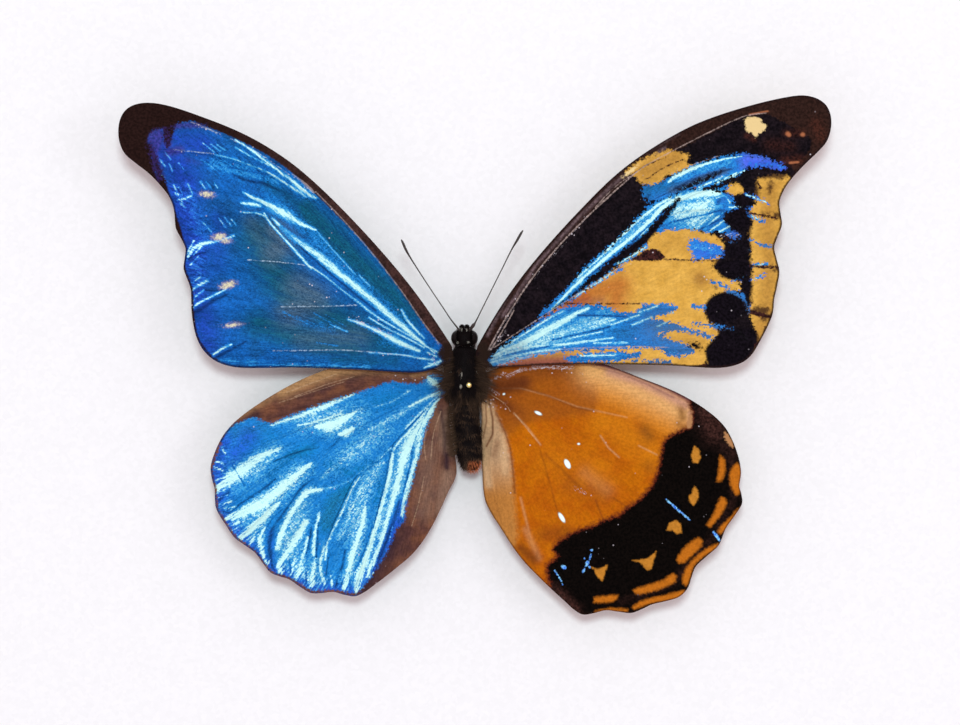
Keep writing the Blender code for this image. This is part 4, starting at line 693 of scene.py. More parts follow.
                20.4, 8.7, 22.6, 9.5, 15, 5, 19, 5.1, 13.4, 3.5, 17.6, 3.6)),
        glow(0.5,
            haze(1.5, 1.5, 25.4, 20.6, 28.4, 21.4, 27, 20), haze(0.8, 0.8, 25.6, 22.3, 29.6, 22.8),
            haze(1.2, 1.3, 4, 3.6, 8, 5, 16.5, 7.8), haze(0.8, 0.8, 13, 12.4, 23, 21.2),
            haze(0.5, 1, 25, 24.6, 31, 26.6), haze(0.6, 0.5, 33.8, 26.4, 37.4, 26.2),
            haze(0.7, 0.6, 27.2, 16.6, 30, 16)),
    ],
    # Painted shade in the creases of the folds
    "fold_shade": [
        brush(24.6, 23.5, 0.14, 27, 24.6, 0.24, 29.4, 25.4, 0.2, 31.4, 25.9, 0.1),
        dashes(0.08, 4, 3.5, 10, 4.75, 10, 5.4, 17, 7, 13, 8.4, 19, 8.2, 6, 6.3, 10.6, 9,
            24.6, 19.6, 30.6, 21, 27.6, 18.6, 30.4, 20, 13.8, 12.7, 19.6, 17, 19.6, 17.2, 23.6, 21,
            22.4, 22.4, 24.6, 23.4), haze(0.8, 0.3, 29.8, 21.9, 31.6, 22.9),
        haze(0.8, 0.25, 30.2, 20.4, 31.8, 20.6),
    ],
    "black": [
        oval(32.25, 19.7, 1.4, 1.3, 10), oval(32.2, 16.2, 1.6, 1, 10), oval(32, 13.9, 2, 1.2, 4),
        oval(29.9, 14.3, 0.7, 0.45, 20), oval(30.7, 9.25, 2.3, 1.75, 6),
        stroke(33.3, 12.9, 0.3, 33.35, 11.2, 0.36, 33.5, 9.8, 0.3),
        patch(28.5, 4.6, 29.3, 5.3, 30.1, 6.3, 31.55, 6.8, 33.25, 6.85, 34.3, 6.5, 34.45, 5.4, 34, 4,
            33.2, 2.9, 31.3, 2, 29.6, 2.2, 28.7, 2.9, 28.4, 3.9), oval(27.2, 4.75, 0.75, 0.35, -10),
        oval(32.9, 21.9, 0.8, 0.9), oval(33.1, 24.2, 0.5, 0.6, 20),
        stroke(25.1, 22.2, 0.22, 23.9, 20.7, 0.28, 22.8, 19.3, 0.3, 21.4, 17.9, 0.3, 19.9, 16.7, 0.28,
            18.5, 15.6, 0.24, 17.1, 14.5, 0.16),
        stroke(17.1, 14.5, 0.1, 15, 12.9, 0.07, 12.9, 11.2, 0.06, 10, 9.1, 0.05),
        patch(24.8, 23.45, 27.1, 24.5, 29.6, 25.5, 30.5, 25.6, 29.4, 24.9, 27.6, 24.1, 26, 23.5),
    ],
    "umber_marks": [
        patch(19.5, 14.95, 20.4, 15.7, 21.6, 16.3, 22.8, 16.1, 23.6, 15.2, 22, 14.9),
        line(0.07, 19.7, 15.05, 24, 15.05, 29.7, 14.9), line(0.04, 19.6, 25.3, 21.6, 26.5, 23.6, 27.3),
        line(0.04, 21.3, 24.7, 23.6, 26.2, 25.8, 27.1),
        stroke(33.9, 8.8, 0.3, 35, 8.4, 0.26, 36.3, 8.1, 0.14),
        stroke(33.8, 20.6, 0.12, 35.3, 20.3, 0.11, 36.8, 20, 0.12),
        stroke(33.7, 14.25, 0.14, 35.3, 14.15, 0.15, 36.9, 14.1, 0.14),
        stroke(34.4, 4.8, 0.2, 35.3, 5.6, 0.16, 35.5, 7, 0.08),
        stroke(11.6, 9.75, 0.05, 15, 9.75, 0.05, 20.5, 9.75, 0.05),
        stroke(28.4, 2.4, 0.14, 24.5, 1.95, 0.08, 19, 1.85, 0.06),
        stroke(34.6, 24.3, 0.16, 34.9, 23.6, 0.1),
    ],
    "pale": [
        line(0.08, 2.3, 4.2, 4.4, 8, 7.5, 12.7, 10.6, 16.5, 14.3, 20.3, 17.7, 23.45),
        line(0.06, 17.7, 23.45, 20.8, 26.05, 24.2, 27.95, 28.4, 30.1, 32.7, 32.1, 35.6, 32.6),
        line(0.04, 15.1, 21.25, 16.6, 22.9, 18.2, 24.3, 19.9, 25.4), line(0.06, 2.6, 4.2, 4.2, 6.8, 5.4, 9),
        line(0.05, 19.3, 14.9, 16, 12.85, 13.7, 11.35, 11.5, 9.95, 9.2, 8.5, 6.9, 7, 3, 4.5),
        line(0.05, 3.4, 2.3, 7, 3.4, 11.4, 4.3, 20, 4.6, 24, 4.5), line(0.04, 26.8, 26.4, 30.1, 27.5),
    ],
}

RIGHT_HINDWING = {
    "root": (2.2, -0.3),
    "base": [haze(1.4, 0.55, 1.6, 1.1, 2.1, 0.3, 1.5, -0.5, 1.7, -1.2, 1.1, -1.9)],
    "anal": [
        patch(1.3, -2.2, 2.4, -1.9, 3.3, -3.6, 4.2, -5.9, 4.9, -8.4, 5.25, -10.8, 5.45, -13.2, 5.7, -16.3,
            5.8, -18.4, 5.2, -19.6, 3, -18, 1, -14, 0.6, -8, 0.8, -4),
    ],
    "rings": [(26.5, -10, 1.6), (22.5, -16.5, 1.1), (17, -21, 1.4), (11.5, -21.5, 0.9)],
    "veins": [
        (3, 0.8, 8, 1.5, 14, 1, 20, -0.3, 26, -2.4, 31, -5.8),
        (2.1, -0.2, 6.2, -0.4, 9.5, -1.2, 13.3, -2.75, 18.4, -3.9, 24, -6, 29, -8.4, 32.6, -10.6),
        (2.3, -0.8, 5.5, -3.4, 7.1, -5.2, 8.6, -7.3, 10.2, -9, 11.95, -10.5, 13.7, -12.3),
        (13.7, -12.3, 16, -13.4, 19, -14.7, 22.4, -17.4, 25.8, -20.6, 27.4, -22.4),
        (13.7, -12.3, 14.8, -14.2, 15.9, -16.1, 18, -20, 20, -25.5),
        (8.6, -7.6, 9.4, -10, 10, -12.7, 11.2, -16.4, 13, -21, 14.6, -26.2),
        (9.5, -2.2, 12.6, -4.3, 15.7, -5.9, 17.05, -7.9, 19.5, -10.4, 24, -13.6, 29, -16.4, 32, -17.6),
        (15.7, -5.9, 20.4, -7.3, 24, -8.8, 28.5, -11.6, 33.4, -14.4),
        (2.4, -1.9, 3.8, -4.6, 5, -7.6, 5.4, -10.7, 5.6, -14, 7.6, -20.6, 8.6, -23.2),
        (2.1, -1.6, 2.9, -4.1, 2.9, -6.4, 2.6, -11, 4.4, -17.6),
    ],
    "brown": [
        stroke(31, -5.4, 0.2, 32.6, -8, 0.1, 33.2, -11, 0.1),
        stroke(8, -23.3, 0.14, 6.6, -21.4, 0.1, 5.2, -19.4, 0.1),
    ],
    "peach": [haze(1.15, 2.1, 15, 1.9, 19, 0.5, 22.5, -1.2, 26, -3)],
    "golden": [
        haze(1, 1.8, 16.6, -0.6, 20.5, -2.4, 24, -4.6), haze(0.6, 2, 16, -4, 22, -8),
        haze(0.3, 2, 10, -9, 16, -10),
    ],
    "rose": [
        haze(1.1, 0.3, 14, 2.9, 18, 1.9, 20.6, 1, 23.9, -0.4, 27.2, -2.2, 29, -3.8),
        haze(0.5, 0.15, 15, 2.2, 18.5, 1.3, 21.6, 0, 24.6, -1.5),
    ],
    "basal": [
        patch(0, 3, 8, 3, 13.2, 2.8, 14, 1.2, 15.2, -0.4, 15.3, -2.2, 14.4, -3.4, 10, -4, 6.6, -4.6,
            4.4, -6, 2, -4, 0, -2),
    ],
    "sienna": [
        haze(1, 1.1, 2.4, 0.2, 4.6, 0.4, 6.6, 0.4), haze(0.6, 1.2, 6, 1.6, 13, 1.8),
        haze(0.5, 1.2, 3, -1.6, 6, -3.4), haze(0.3, 1.2, 12, -12, 16, -13),
    ],
    "blush": [
        haze(1, 0.7, 17, 1.6, 20.6, 0.4, 23.4, -0.9, 26, -2.4), haze(0.7, 0.5, 26.6, -3.4, 26.9, -5.2),
    ],
    "buff": [
        haze(0.9, 0.5, 2.3, -2.4, 2.3, -4.8), haze(0.9, 0.5, 1.8, -8.4, 2.4, -12),
        haze(0.25, 0.4, 6.8, -17.4, 8.4, -20.8), haze(0.6, 0.4, 4.1, -6, 4.3, -10.5),
        haze(0.12, 0.9, 14, -10.6, 16.6, -12.6), haze(0.45, 0.1, 5.4, -3.4, 7.1, -5.2, 8.6, -7.2),
        haze(0.3, 0.16, 6.2, -13.6, 7.4, -18.4), haze(0.5, 0.09, 15.8, -6.1, 16.8, -7.6, 18.05, -8.7),
        haze(0.4, 0.09, 20.4, -7.3, 22.6, -8.4),
        haze(0.3, 0.09, 2.6, -0.4, 6.2, -0.4, 9.5, -1.3, 13, -2.6, 19, -3.9),
    ],
    "dusky": [
        haze(0.9, 0.8, 2.2, -0.6, 4.4, -0.4, 6.5, 0.2), haze(0.7, 0.5, 3, -1.4, 5, -2.8),
        haze(0.4, 0.12, 6.2, -0.2, 9.1, -1.1, 12.8, -2.75, 15, -3.1),
        haze(0.6, 0.14, 3.3, -3.4, 4.3, -5.6, 4.97, -7.6, 5.35, -10.7, 5.5, -13),
        haze(0.85, 0.12, 2.4, -1.9, 2.86, -4.1, 2.86, -5.9, 2.1, -7.4),
        haze(0.7, 0.1, 2, -2.2, 2.1, -4.4, 1.7, -6.4), haze(0.4, 0.4, 3.4, -7, 3, -8.4),
        haze(0.4, 0.12, 17.3, -13.6, 19.3, -14.85), haze(0.3, 0.12, 8.6, -8, 9.8, -12, 10.7, -15.5),
        haze(0.4, 1, 9, -18, 11.6, -17.6), haze(0.7, 0.7, 6.2, -19.6, 7.8, -21),
        haze(0.3, 0.2, 9.2, -8.4, 11.2, -10.2, 13.4, -12.4), haze(0.5, 0.12, 15.2, -13.8, 16.2, -16.4),
    ],
    "smudge": [
        haze(0.6, 0.8, 21.2, -5.5, 21.6, -6.1), haze(0.3, 0.7, 21.6, -9.6, 21.8, -10),
        haze(0.7, 0.5, 25.5, -3, 25.7, -4), haze(0.5, 0.5, 25.2, -4.6, 26.2, -5.4),
    ],
    "flecks": [
        patch(30.8, -5.6, 31.5, -6.3, 31.9, -7.4, 31.6, -7.5, 31.1, -7, 30.7, -6.2),
        stroke(26.6, -3.8, 0.2, 26.5, -5, 0.28),
    ],
    "black": [
        patch(27.4, -1.4, 26.7, -2.3, 27, -3.2, 26.9, -4.9, 25.7, -5.6, 25, -5.9, 24.2, -6.3, 23.6, -7.1,
            23.3, -8.5, 22.9, -10.3, 22.4, -11.8, 21.5, -13, 20.4, -14.1, 19.1, -15, 18.1, -15.8,
            16.4, -16.4, 15, -17.1, 13.3, -17.6, 12, -18.3, 10.8, -19.1, 10.3, -19.8, 10.8, -20.6,
            10.4, -21.2, 9.7, -21.6, 9.5, -22.4, 9.8, -23.6, 9.9, -24.6, 9.5, -27.5, 20, -31, 34, -22,
            36, -8, 31, -2),
    ],
    "umber": [
        haze(1, 1.3, 28.6, -3.4, 29.5, -5.6), haze(0.4, 0.8, 30.6, -7.4, 31.4, -8.4),
        haze(0.3, 0.5, 31.4, -8.4, 31.9, -13.6, 29.4, -18.2, 24.6, -23.8, 18.4, -26),
        haze(0.8, 0.6, 10.2, -24.4, 13, -27),
    ],
    "spots": [
        patch(27.1, -7.3, 27.55, -7.6, 27.85, -8.7, 27.5, -9.4, 27, -9.4, 26.75, -8.5),
        patch(27.1, -12.1, 27.6, -13, 27.5, -13.9, 27, -14.5, 26.5, -14.1, 26.4, -13.4, 26.8, -13),
        patch(23.7, -17.5, 24.15, -16.6, 24.9, -16.3, 25.4, -16.6, 25.6, -17.8, 25, -17.9, 24.5, -17.5),
        patch(19.6, -21.1, 20.8, -20.95, 21.7, -20.7, 22.5, -19.95, 22.2, -21.2, 21.9, -22.2, 21.4, -22.3,
            20.6, -21.4),
        patch(14.6, -21.8, 15.5, -22.1, 16.7, -21.6, 16.4, -22.5, 16.05, -23.6, 15.4, -22.95, 15.05, -22.3),
    ],
    "crescents": [
        patch(30.2, -8.5, 30.7, -9, 30.75, -10.5, 30.3, -11.5, 29.8, -11.6, 30, -10.5, 30.1, -9.4),
        patch(30.35, -13.5, 30.9, -13.8, 30.8, -14.7, 29.9, -16.1, 28.9, -17.1, 28.6, -16.85, 29.5, -15.4,
            29.9, -14.3),
        patch(27.7, -18.4, 28.05, -18.8, 27.9, -19.4, 27, -20.3, 25.7, -21.4, 25, -21.1, 25.5, -20.1,
            26.6, -18.95),
        patch(19.7, -24.7, 20.8, -24.3, 23, -23.6, 24.6, -22.7, 24.95, -22.95, 24.8, -23.6, 23.3, -24.4,
            21.7, -24.9, 20.15, -25.1),
        patch(15.05, -25.6, 16.4, -25.4, 17.9, -25.3, 17.7, -25.8, 16.6, -26.15, 15.05, -26.1),
        patch(32.2, -9.4, 32.7, -10.1, 32.6, -13, 32.1, -13.2, 31.5, -12.1, 31.35, -10.7, 31.7, -9.9),
        patch(32.7, -14.7, 32.6, -15.5, 31.5, -16.5, 30.8, -17.6, 30, -17.85, 30.2, -17.1, 31.5, -15.85,
            32.1, -15.1),
        patch(30.1, -19.2, 29.5, -19.8, 28.1, -20.7, 27, -21.8, 26.6, -23.2, 26.1, -24.1, 25.7, -23.8,
            25.9, -22.5, 26.8, -21.2, 28.4, -19.8, 29.9, -19.1),
        patch(25.9, -24.7, 26.1, -25.1, 24.8, -25.7, 21.7, -26.3, 19.9, -26.95, 19.6, -26.8, 20.8, -25.95,
            23, -25.4, 24.8, -24.95),
        patch(15.3, -27.2, 16.8, -26.9, 19.05, -27, 19.05, -27.2, 16.8, -27.3, 15.05, -27.4),
    ],
    "blue": [
        stroke(23.6, -13.7, 0.06, 25, -14.9, 0.12, 26.6, -16.3, 0.07),
        stroke(29.4, -17.7, 0.12, 29.7, -18.1, 0.2, 30.1, -18.7, 0.1), oval(14.75, -19.9, 0.16, 0.12),
        oval(14.6, -20.7, 0.3, 0.1, 70), oval(14.2, -21.5, 0.34, 0.18, 60),
        oval(13.8, -22.3, 0.26, 0.14, 70), oval(14.5, -21.9, 0.12, 0.1), oval(13.9, -20.9, 0.1, 0.1),
        oval(11.4, -21.9, 0.34, 0.26, -30), stroke(10.3, -22.3, 0.07, 10.8, -23.1, 0.08, 11.3, -24, 0.06),
    ],
    "frost": [
        oval(8.33, -3.39, 0.4, 0.16, -25), oval(11.84, -9.5, 0.56, 0.28, -62),
        oval(11.15, -15.95, 0.6, 0.22, -58), oval(13.2, -7.1, 0.14, 0.1), oval(4.2, -1.1, 0.13, 0.1, 20),
    ],
    "dust": [
        haze(1.6, 0.3, 4.6, 1, 6.2, 1.8, 8.4, 2.15, 12.4, 2.1), haze(1.2, 0.3, 2, 0.2, 4.2, 1.3),
        haze(1.3, 0.25, 2.2, -0.2, 3.6, -1.2), haze(0.6, 0.5, 13, 1.7, 13.6, 1.2),
        haze(0.9, 0.4, 12.6, -12.4, 14, -13), haze(0.6, 1, 2.6, -2.6, 4.4, -2.2),
    ],
    "pale": [line(0.04, 2.4, -1, 4.2, -2.2, 5, -3.2), line(0.04, 5.6, -3.6, 7.4, -5.8, 8.4, -7)],
}


# Wing meshes -----------------------------------------------------------------------------------------------


def cad_surface(node):
    """A piece of the CAD model in millimetres, with the corners that its file repeats joined again."""
    bm = bmesh.new()
    bm.from_mesh(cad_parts[node].data)
    bmesh.ops.scale(bm, vec=Vector((1, 1, 1)) / MM, verts=bm.verts)
    bmesh.ops.remove_doubles(bm, verts=bm.verts, dist=0.001)
    bm.normal_update()
    return bm


def rim_of(bm):
    """The outline of a wing's upper face, as points in order, counter-clockwise seen from above."""
    beside = {}
    for edge in bm.edges:
        up = [face.normal.z > 0.5 for face in edge.link_faces]
        if sum(up) == 1:
            a, b = edge.verts
            beside.setdefault(a, []).append(b)
            beside.setdefault(b, []).append(a)
    loops = []
    left = set(beside)
    while left:
        start = min(left, key=lambda vert: vert.index)
        loop = [start]
        left.discard(start)
        while True:
            onward = [vert for vert in beside[loop[-1]] if vert in left]
            if not onward:
                break
            loop.append(onward[0])
            left.discard(onward[0])
        loops.append(np.array([vert.co for vert in loop]))
    loop = max(loops, key=len)
    x, y = loop[:, 0], loop[:, 1]
    area = np.sum(x * np.roll(y, -1) - y * np.roll(x, -1))
    return loop if area > 0 else loop[::-1]


def filled(rim, spacing):
    """Corners and triangles of a flat sheet inside the rim. The rim's points are the first corners."""
    low, high = rim[:, :2].min(0), rim[:, :2].max(0)
    row_height = spacing * math.sqrt(3) / 2
    rows = np.arange(low[1], high[1], row_height)
    columns = np.arange(low[0], high[0], spacing)
    x = columns[None, :] + spacing / 2 * (np.arange(len(rows)) % 2)[:, None]
    y = np.repeat(rows[:, None], len(columns), 1)
    grid = np.stack([x.ravel(), y.ravel()], 1)
    grid = grid[inside(grid, rim[:, :2])]
    distance, _ = nearest_on(grid, np.vstack([rim[:, :2], rim[:1, :2]]))
    grid = grid[distance > 0.55 * spacing]
    places = [Vector(place) for place in np.vstack([rim[:, :2], grid])]
    face = list(range(len(rim)))
    corners, _, triangles, *_ = geometry.delaunay_2d_cdt(places, [], [face], 1, 1e-6)
    return np.array(corners), np.array(triangles)


def smoothed(heights, triangles, held, rounds):
    """The heights with each corner drawn towards its neighbours, except for the first held ones."""
    ends = np.vstack([triangles[:, [0, 1]], triangles[:, [1, 2]], triangles[:, [2, 0]]])
    near_count = np.bincount(ends.ravel(), minlength=len(heights))
    for _ in range(rounds):
        total = np.bincount(ends[:, 0], heights[ends[:, 1]], len(heights))
        total += np.bincount(ends[:, 1], heights[ends[:, 0]], len(heights))
        moved = 0.4 * heights + 0.6 * total / np.maximum(near_count, 1)
        moved[:held] = heights[:held]
        heights = moved
    return heights


def heights_on(bm, places):
    """The height of the CAD piece's top at each place."""
    tree = BVHTree.FromBMesh(bm)
    top = max(vert.co.z for vert in bm.verts) + 1
    made = np.empty(len(places))
    for number, (x, y) in enumerate(places):
        hit = tree.ray_cast(Vector((x, y, top)), Vector((0, 0, -1)))[0]
        if hit is None:
            hit = tree.find_nearest(Vector((x, y, top - 1)))[0]
        made[number] = hit.z
    return made


def flow_from(root, places):
    """Distance from a wing's root and direction there, for streaks that fan out from it."""
    away = places - np.array(root)
    distance = np.hypot(*away.T)
    angle = np.arctan2(away[:, 1], away[:, 0])
    body_side = 0 if root[0] < 0 else math.pi
    turned = np.mod(angle - body_side, 2 * math.pi)
    return np.stack([distance, 25 * turned, np.zeros(len(places))], 1)


def mesh_piece(name, corners, faces, materials, node, slot):
    """A mesh that stands for a piece of the CAD model and rides with it. The corners are in millimetres."""
    mesh = bpy.data.meshes.new(name)
    mesh.from_pydata((np.asarray(corners) * MM).tolist(), [], [list(map(int, face)) for face in faces])
    mesh.update()
    mesh.shade_smooth()
    piece = bpy.data.objects.new(name, mesh)
    bpy.context.scene.collection.objects.link(piece)
    for material in materials:
        mesh.materials.append(material)
    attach(piece, "root")
    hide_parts(node)
    return piece


def store(piece, name, values):
    """Keeps one value a corner in the mesh, for its material to read."""
    values = np.asarray(values, np.float32)
    if values.ndim == 2:
        piece.data.attributes.new(name, "FLOAT_VECTOR", "POINT").data.foreach_set("vector", values.ravel())
    else:
        piece.data.attributes.new(name, "FLOAT", "POINT").data.foreach_set("value", values)


def sheet(bm, rim, spacing, rounds):
    """Corners, triangles and smooth heights of a face of the wing inside the rim."""
    places, triangles = filled(rim, spacing)
    heights = np.concatenate([rim[:, 2], heights_on(bm, places[len(rim):])])
    return places, triangles, smoothed(heights, triangles, len(rim), rounds)


def over_veins(veins, places, reach):
    """1 on the middle of a vein, and 0 from this reach beside it."""
    lines = [smooth_line(points_of(numbers, 2), 0.5) for numbers in veins]
    return 1 - smooth_step(0, reach, np.minimum.reduce([nearest_on(places, line)[0] for line in lines]))


def wing(name, plan, slot, upper, under):
    """A thin wing on the outline and height of its CAD piece, with raised veins and fine pleats."""
    bm = cad_surface(name)
    rim = smooth_line(rim_of(bm), RIM_STEP, closed=True)
    count = len(rim)
    closed_rim = np.vstack([rim[:, :2], rim[:1, :2]])
    places, triangles, top = sheet(bm, rim, UPPER_SPACING, SMOOTHING_ROUNDS)
    flow = flow_from(plan["root"], places)
    rise = over_veins(plan["veins"], places, VEIN_HALF_WIDTH * 1.6)
    from_rim, _ = nearest_on(places, closed_rim)
    pleats = np.sin(flow[:, 1] * 2.4) * np.sin(flow[:, 1] * 1.1 + 1) * smooth_step(3, 12, flow[:, 0])
    edge_fade = smooth_step(0, 0.5, from_rim)
    top += (VEIN_HEIGHT * rise + PLEAT_HEIGHT * pleats * (1 - rise)) * edge_fade

    under_places, under_triangles, under_top = sheet(bm, rim, UNDER_SPACING, SMOOTHING_ROUNDS // 5)
    bm.free()

    start = len(places)
    corners = np.vstack([
        np.column_stack([places, top]),
        np.column_stack([under_places, under_top - WING_THICKNESS]),
    ])
    onward = np.roll(np.arange(count), -1)
    around = np.arange(count)
    side = np.vstack([
        np.column_stack([around, start + around, start + onward]),
        np.column_stack([around, start + onward, onward]),
    ])
    faces = np.vstack([triangles, side, under_triangles[:, ::-1] + start])
    piece = mesh_piece(name + "_scales", corners, faces, [upper, under], name, slot)
    sides = np.arange(len(faces)) >= len(triangles)
    piece.data.polygons.foreach_set("material_index", sides.astype(np.int32))

    every = corners[:, :2]
    for layer, marks in plan.items():
        if layer in ("root", "veins", "rings"):
            continue
        depths = [mark(places) for mark in marks]
        low = -FAR if layer in FIRM_LAYERS else 0.0
        values = np.full(len(every), low)
        values[:start] = np.maximum.reduce(depths)
        store(piece, layer, values)
    store(piece, "flow", flow_from(plan["root"], every))
    store(piece, "vein", np.concatenate([rise, over_veins(plan["veins"], under_places, UNDER_VEIN_REACH)]))
    store(piece, "rim", np.concatenate([from_rim, nearest_on(under_places, closed_rim)[0]]))
    ring = np.full(len(every), FAR)
    for x, y, size in plan["rings"]:
        ring[start:] = np.minimum(ring[start:], np.hypot(*(under_places - (x, y)).T) / size)
    store(piece, "ring", ring)


# Materials -------------------------------------------------------------------------------------------------


def paint(*screen):
    """The base colour that looks like this red, green and blue from 0 to 255 on a screen."""
    shares = [value / 255 for value in screen]
    return tuple(share / 12.92 if share < 0.04 else ((share + 0.055) / 1.055) ** 2.4 for share in shares)


def shining(*screen):
    """The base colour of scales that also mirror the light, for the same look."""
    return tuple(value / SHINE for value in paint(*screen))


class Wire:
    """A value, vector or colour in a material. Working with it adds the nodes that do the work."""

    def __init__(self, finish, socket):
        self.finish = finish
        self.socket = socket

    def __add__(self, other):
        return self.finish.maths("ADD", self, other)

    def __radd__(self, other):
        return self.finish.maths("ADD", other, self)

    def __sub__(self, other):
        return self.finish.maths("SUBTRACT", self, other)

    def __rsub__(self, other):
        return self.finish.maths("SUBTRACT", other, self)

    def __mul__(self, other):
        return self.finish.maths("MULTIPLY", self, other)

    def __rmul__(self, other):
        return self.finish.maths("MULTIPLY", other, self)

    def __truediv__(self, other):
        return self.finish.maths("DIVIDE", self, other)

    def __pow__(self, other):
        return self.finish.maths("POWER", self, other)

    def least(self, other):
        return self.finish.maths("MINIMUM", self, other)

    def rising(self, low, high):
        """0 below low and 1 above high, with a smooth change between them."""
        values = {"Value": self, "From Min": low, "From Max": high}
        return self.finish.node("ShaderNodeMapRange", {"interpolation_type": "SMOOTHSTEP"}, values)


class Finish:
    """A material, and the ways of adding to it."""

    def __init__(self, name):
        self.material = bpy.data.materials.new(name)
        self.material.use_nodes = True
        self.tree = self.material.node_tree
        self.surface = self.tree.nodes["Principled BSDF"]
        self.fields = {}

    def connect(self, socket, value):
        if isinstance(value, Wire):
            self.tree.links.new(value.socket, socket)
        elif isinstance(value, tuple) and socket.type == "RGBA":
            socket.default_value = (*value, 1)
        else:
            socket.default_value = value

    def node(self, kind, settings, inputs, output=0):
        """Any node: its settings first, then its inputs by name or number."""
        made = self.tree.nodes.new(kind)
        for name, value in settings.items():
            setattr(made, name, value)
        for name, value in inputs.items():
            self.connect(made.inputs[name], value)
        return Wire(self, made.outputs[output])

    def maths(self, operation, a, b):
        """Sums on values add Math nodes, and on vectors or colours Vector Math nodes."""
        many = any(isinstance(v, tuple) or isinstance(v, Wire) and v.socket.type != "VALUE" for v in (a, b))
        kind = "ShaderNodeVectorMath" if many else "ShaderNodeMath"
        if many:
            a, b = [(v, v, v) if isinstance(v, (int, float)) else v for v in (a, b)]
        return self.node(kind, {"operation": operation}, {0: a, 1: b})

    def field(self, name, output="Fac"):
        """What the mesh keeps under this name."""
        if name not in self.fields:
            self.fields[name] = self.node("ShaderNodeAttribute", {"attribute_name": name}, {}, output)
        return self.fields[name]

    def place(self):
        """The point on the piece, in millimetres."""
        if "place" not in self.fields:
            self.fields["place"] = self.node("ShaderNodeTexCoord", {}, {}, "Object") * (1 / MM)
        return self.fields["place"]

    def blend(self, share, under, over, kind="MIX"):
        """A colour between two, where share is 0 to 1."""
        settings = {"data_type": "RGBA", "blend_type": kind, "clamp_factor": True}
        return self.node("ShaderNodeMix", settings, {0: share, 6: under, 7: over}, 2)

    def grain(self, scale, where=None, detail=2.0, roughness=0.5):
        """Soft noise from 0 to 1, with this many waves a millimetre."""
        inputs = {"Vector": where or self.place(), "Scale": scale, "Detail": detail, "Roughness": roughness}
        return self.node("ShaderNodeTexNoise", {}, inputs, "Fac")

    def mottle(self, scale, where=None, detail=2.0):
        """Noise that reaches from 0 to 1."""
        return self.grain(scale, where, detail, 0.6).rising(0.32, 0.68)

    def cells(self, scale, where, output="Distance"):
        """Small cells, this many a millimetre: the distance from each one's middle, or its random colour."""
        inputs = {"Vector": where, "Scale": scale}
        return self.node("ShaderNodeTexVoronoi", {"feature": "F1"}, inputs, output)

    def scales(self, scale, where):
        """A random value from 0 to 1 for each scale, with this many scales a millimetre."""
        return self.node("ShaderNodeSeparateColor", {}, {"Color": self.cells(scale, where, "Color")}, 0)

    def part(self, vector, number):
        """The x, y or z of a vector, as number is 0, 1 or 2."""
        return self.node("ShaderNodeSeparateXYZ", {}, {"Vector": vector}, number)

    def layer(self, name, rough, edge=0.06):
        """How far the marking of this name covers a point, with an edge as uneven as the scales."""
        return (self.field(name) + rough).rising(-edge, edge)

    def apply(self, **inputs):
        """Sets the surface's inputs by their names, with _ for a space."""
        for name, value in inputs.items():
            self.connect(self.surface.inputs[name.replace("_", " ")], value)
        return self.material

    def bumps(self, height, distance):
        """A fine relief of this many millimetres."""
        inputs = {"Strength": 1.0, "Distance": distance * MM, "Height": height}
        return self.node("ShaderNodeBump", {}, inputs)


class WingFinish(Finish):
    """A wing's material."""

    def __init__(self, name):
        super().__init__(name)
        self.at = self.place()
        self.flow = self.field("flow", "Vector")

    def with_noises(self, roughness, speckling):
        """The same, with the noises that the colours of an upper side share."""
        self.rough = (self.grain(roughness, self.at, 3.0, 0.7) - 0.5) * 0.9
        self.specks = self.mottle(speckling, self.at, 2.0)
        self.streaks = self.mottle(1.0, self.flow * (0.5, 2.6, 1.0), 3.0)
        return self

    def tint(self, colour, share, *fields):
        """The colour under the wing's soft fields of these names, each with its own screen colour."""
        for name, screen in fields:
            colour = self.blend(self.field(name) * share, colour, paint(*screen))
        return colour

    def lines(self, colour, screen, edge, share):
        """The colour with the fine pale lines over it."""
        return self.blend(self.layer("pale", self.rough * edge, 0.05) * share, colour, paint(*screen))

    def dusted(self, colour):
        """Painted glints of single scales here and there, and many pale hairs and scales where the wing is
        dusty.
        """
        dust = self.field("dust")
        round_dot = 1 - self.cells(3.4, self.at).rising(0.2, 0.42)
        # Painted glints: now and then a single scale turns near white
        glinting_scales = (self.scales(3.4, self.at) + dust * 0.2).rising(0.993, 1.0)
        hairs = dust * self.mottle(1.0, self.flow * (0.9, 7.0, 1.0), 3.0) * (0.2 + self.scales(7.0, self.at))
        colour = self.blend(hairs.rising(0.35, 0.9) * 0.8, colour, paint(206, 196, 206))
        return self.blend(glinting_scales * round_dot * 0.7, colour, paint(216, 206, 216))

    def complete(self, colour, **inputs):
        """The material, with dust and painted glints, darker towards where the wing meets the body, and the
        relief.
        """
        colour = self.dusted(colour)
        dark = self.field("base") * (0.4 + 1.1 * self.streaks)
        colour = self.blend(dark.rising(0.25, 0.8), colour, paint(44, 31, 26) * (0.4 + self.streaks))
        return self.with_relief(Base_Color=colour, **inputs)

    def with_relief(self, **inputs):
        """The material, with the scales as a slight relief in rows."""
        relief = self.cells(6.0, self.flow * (1.0, 0.7, 1.0)) + self.grain(3.0, self.at, 3.0) * 0.8
        return self.apply(Specular_IOR_Level=WING_SPECULAR, Normal=self.bumps(relief, 0.03), **inputs)


WING_SPECULAR = 0.03
SHINE = 1.45  # how much brighter the light's reflection makes the blue scales

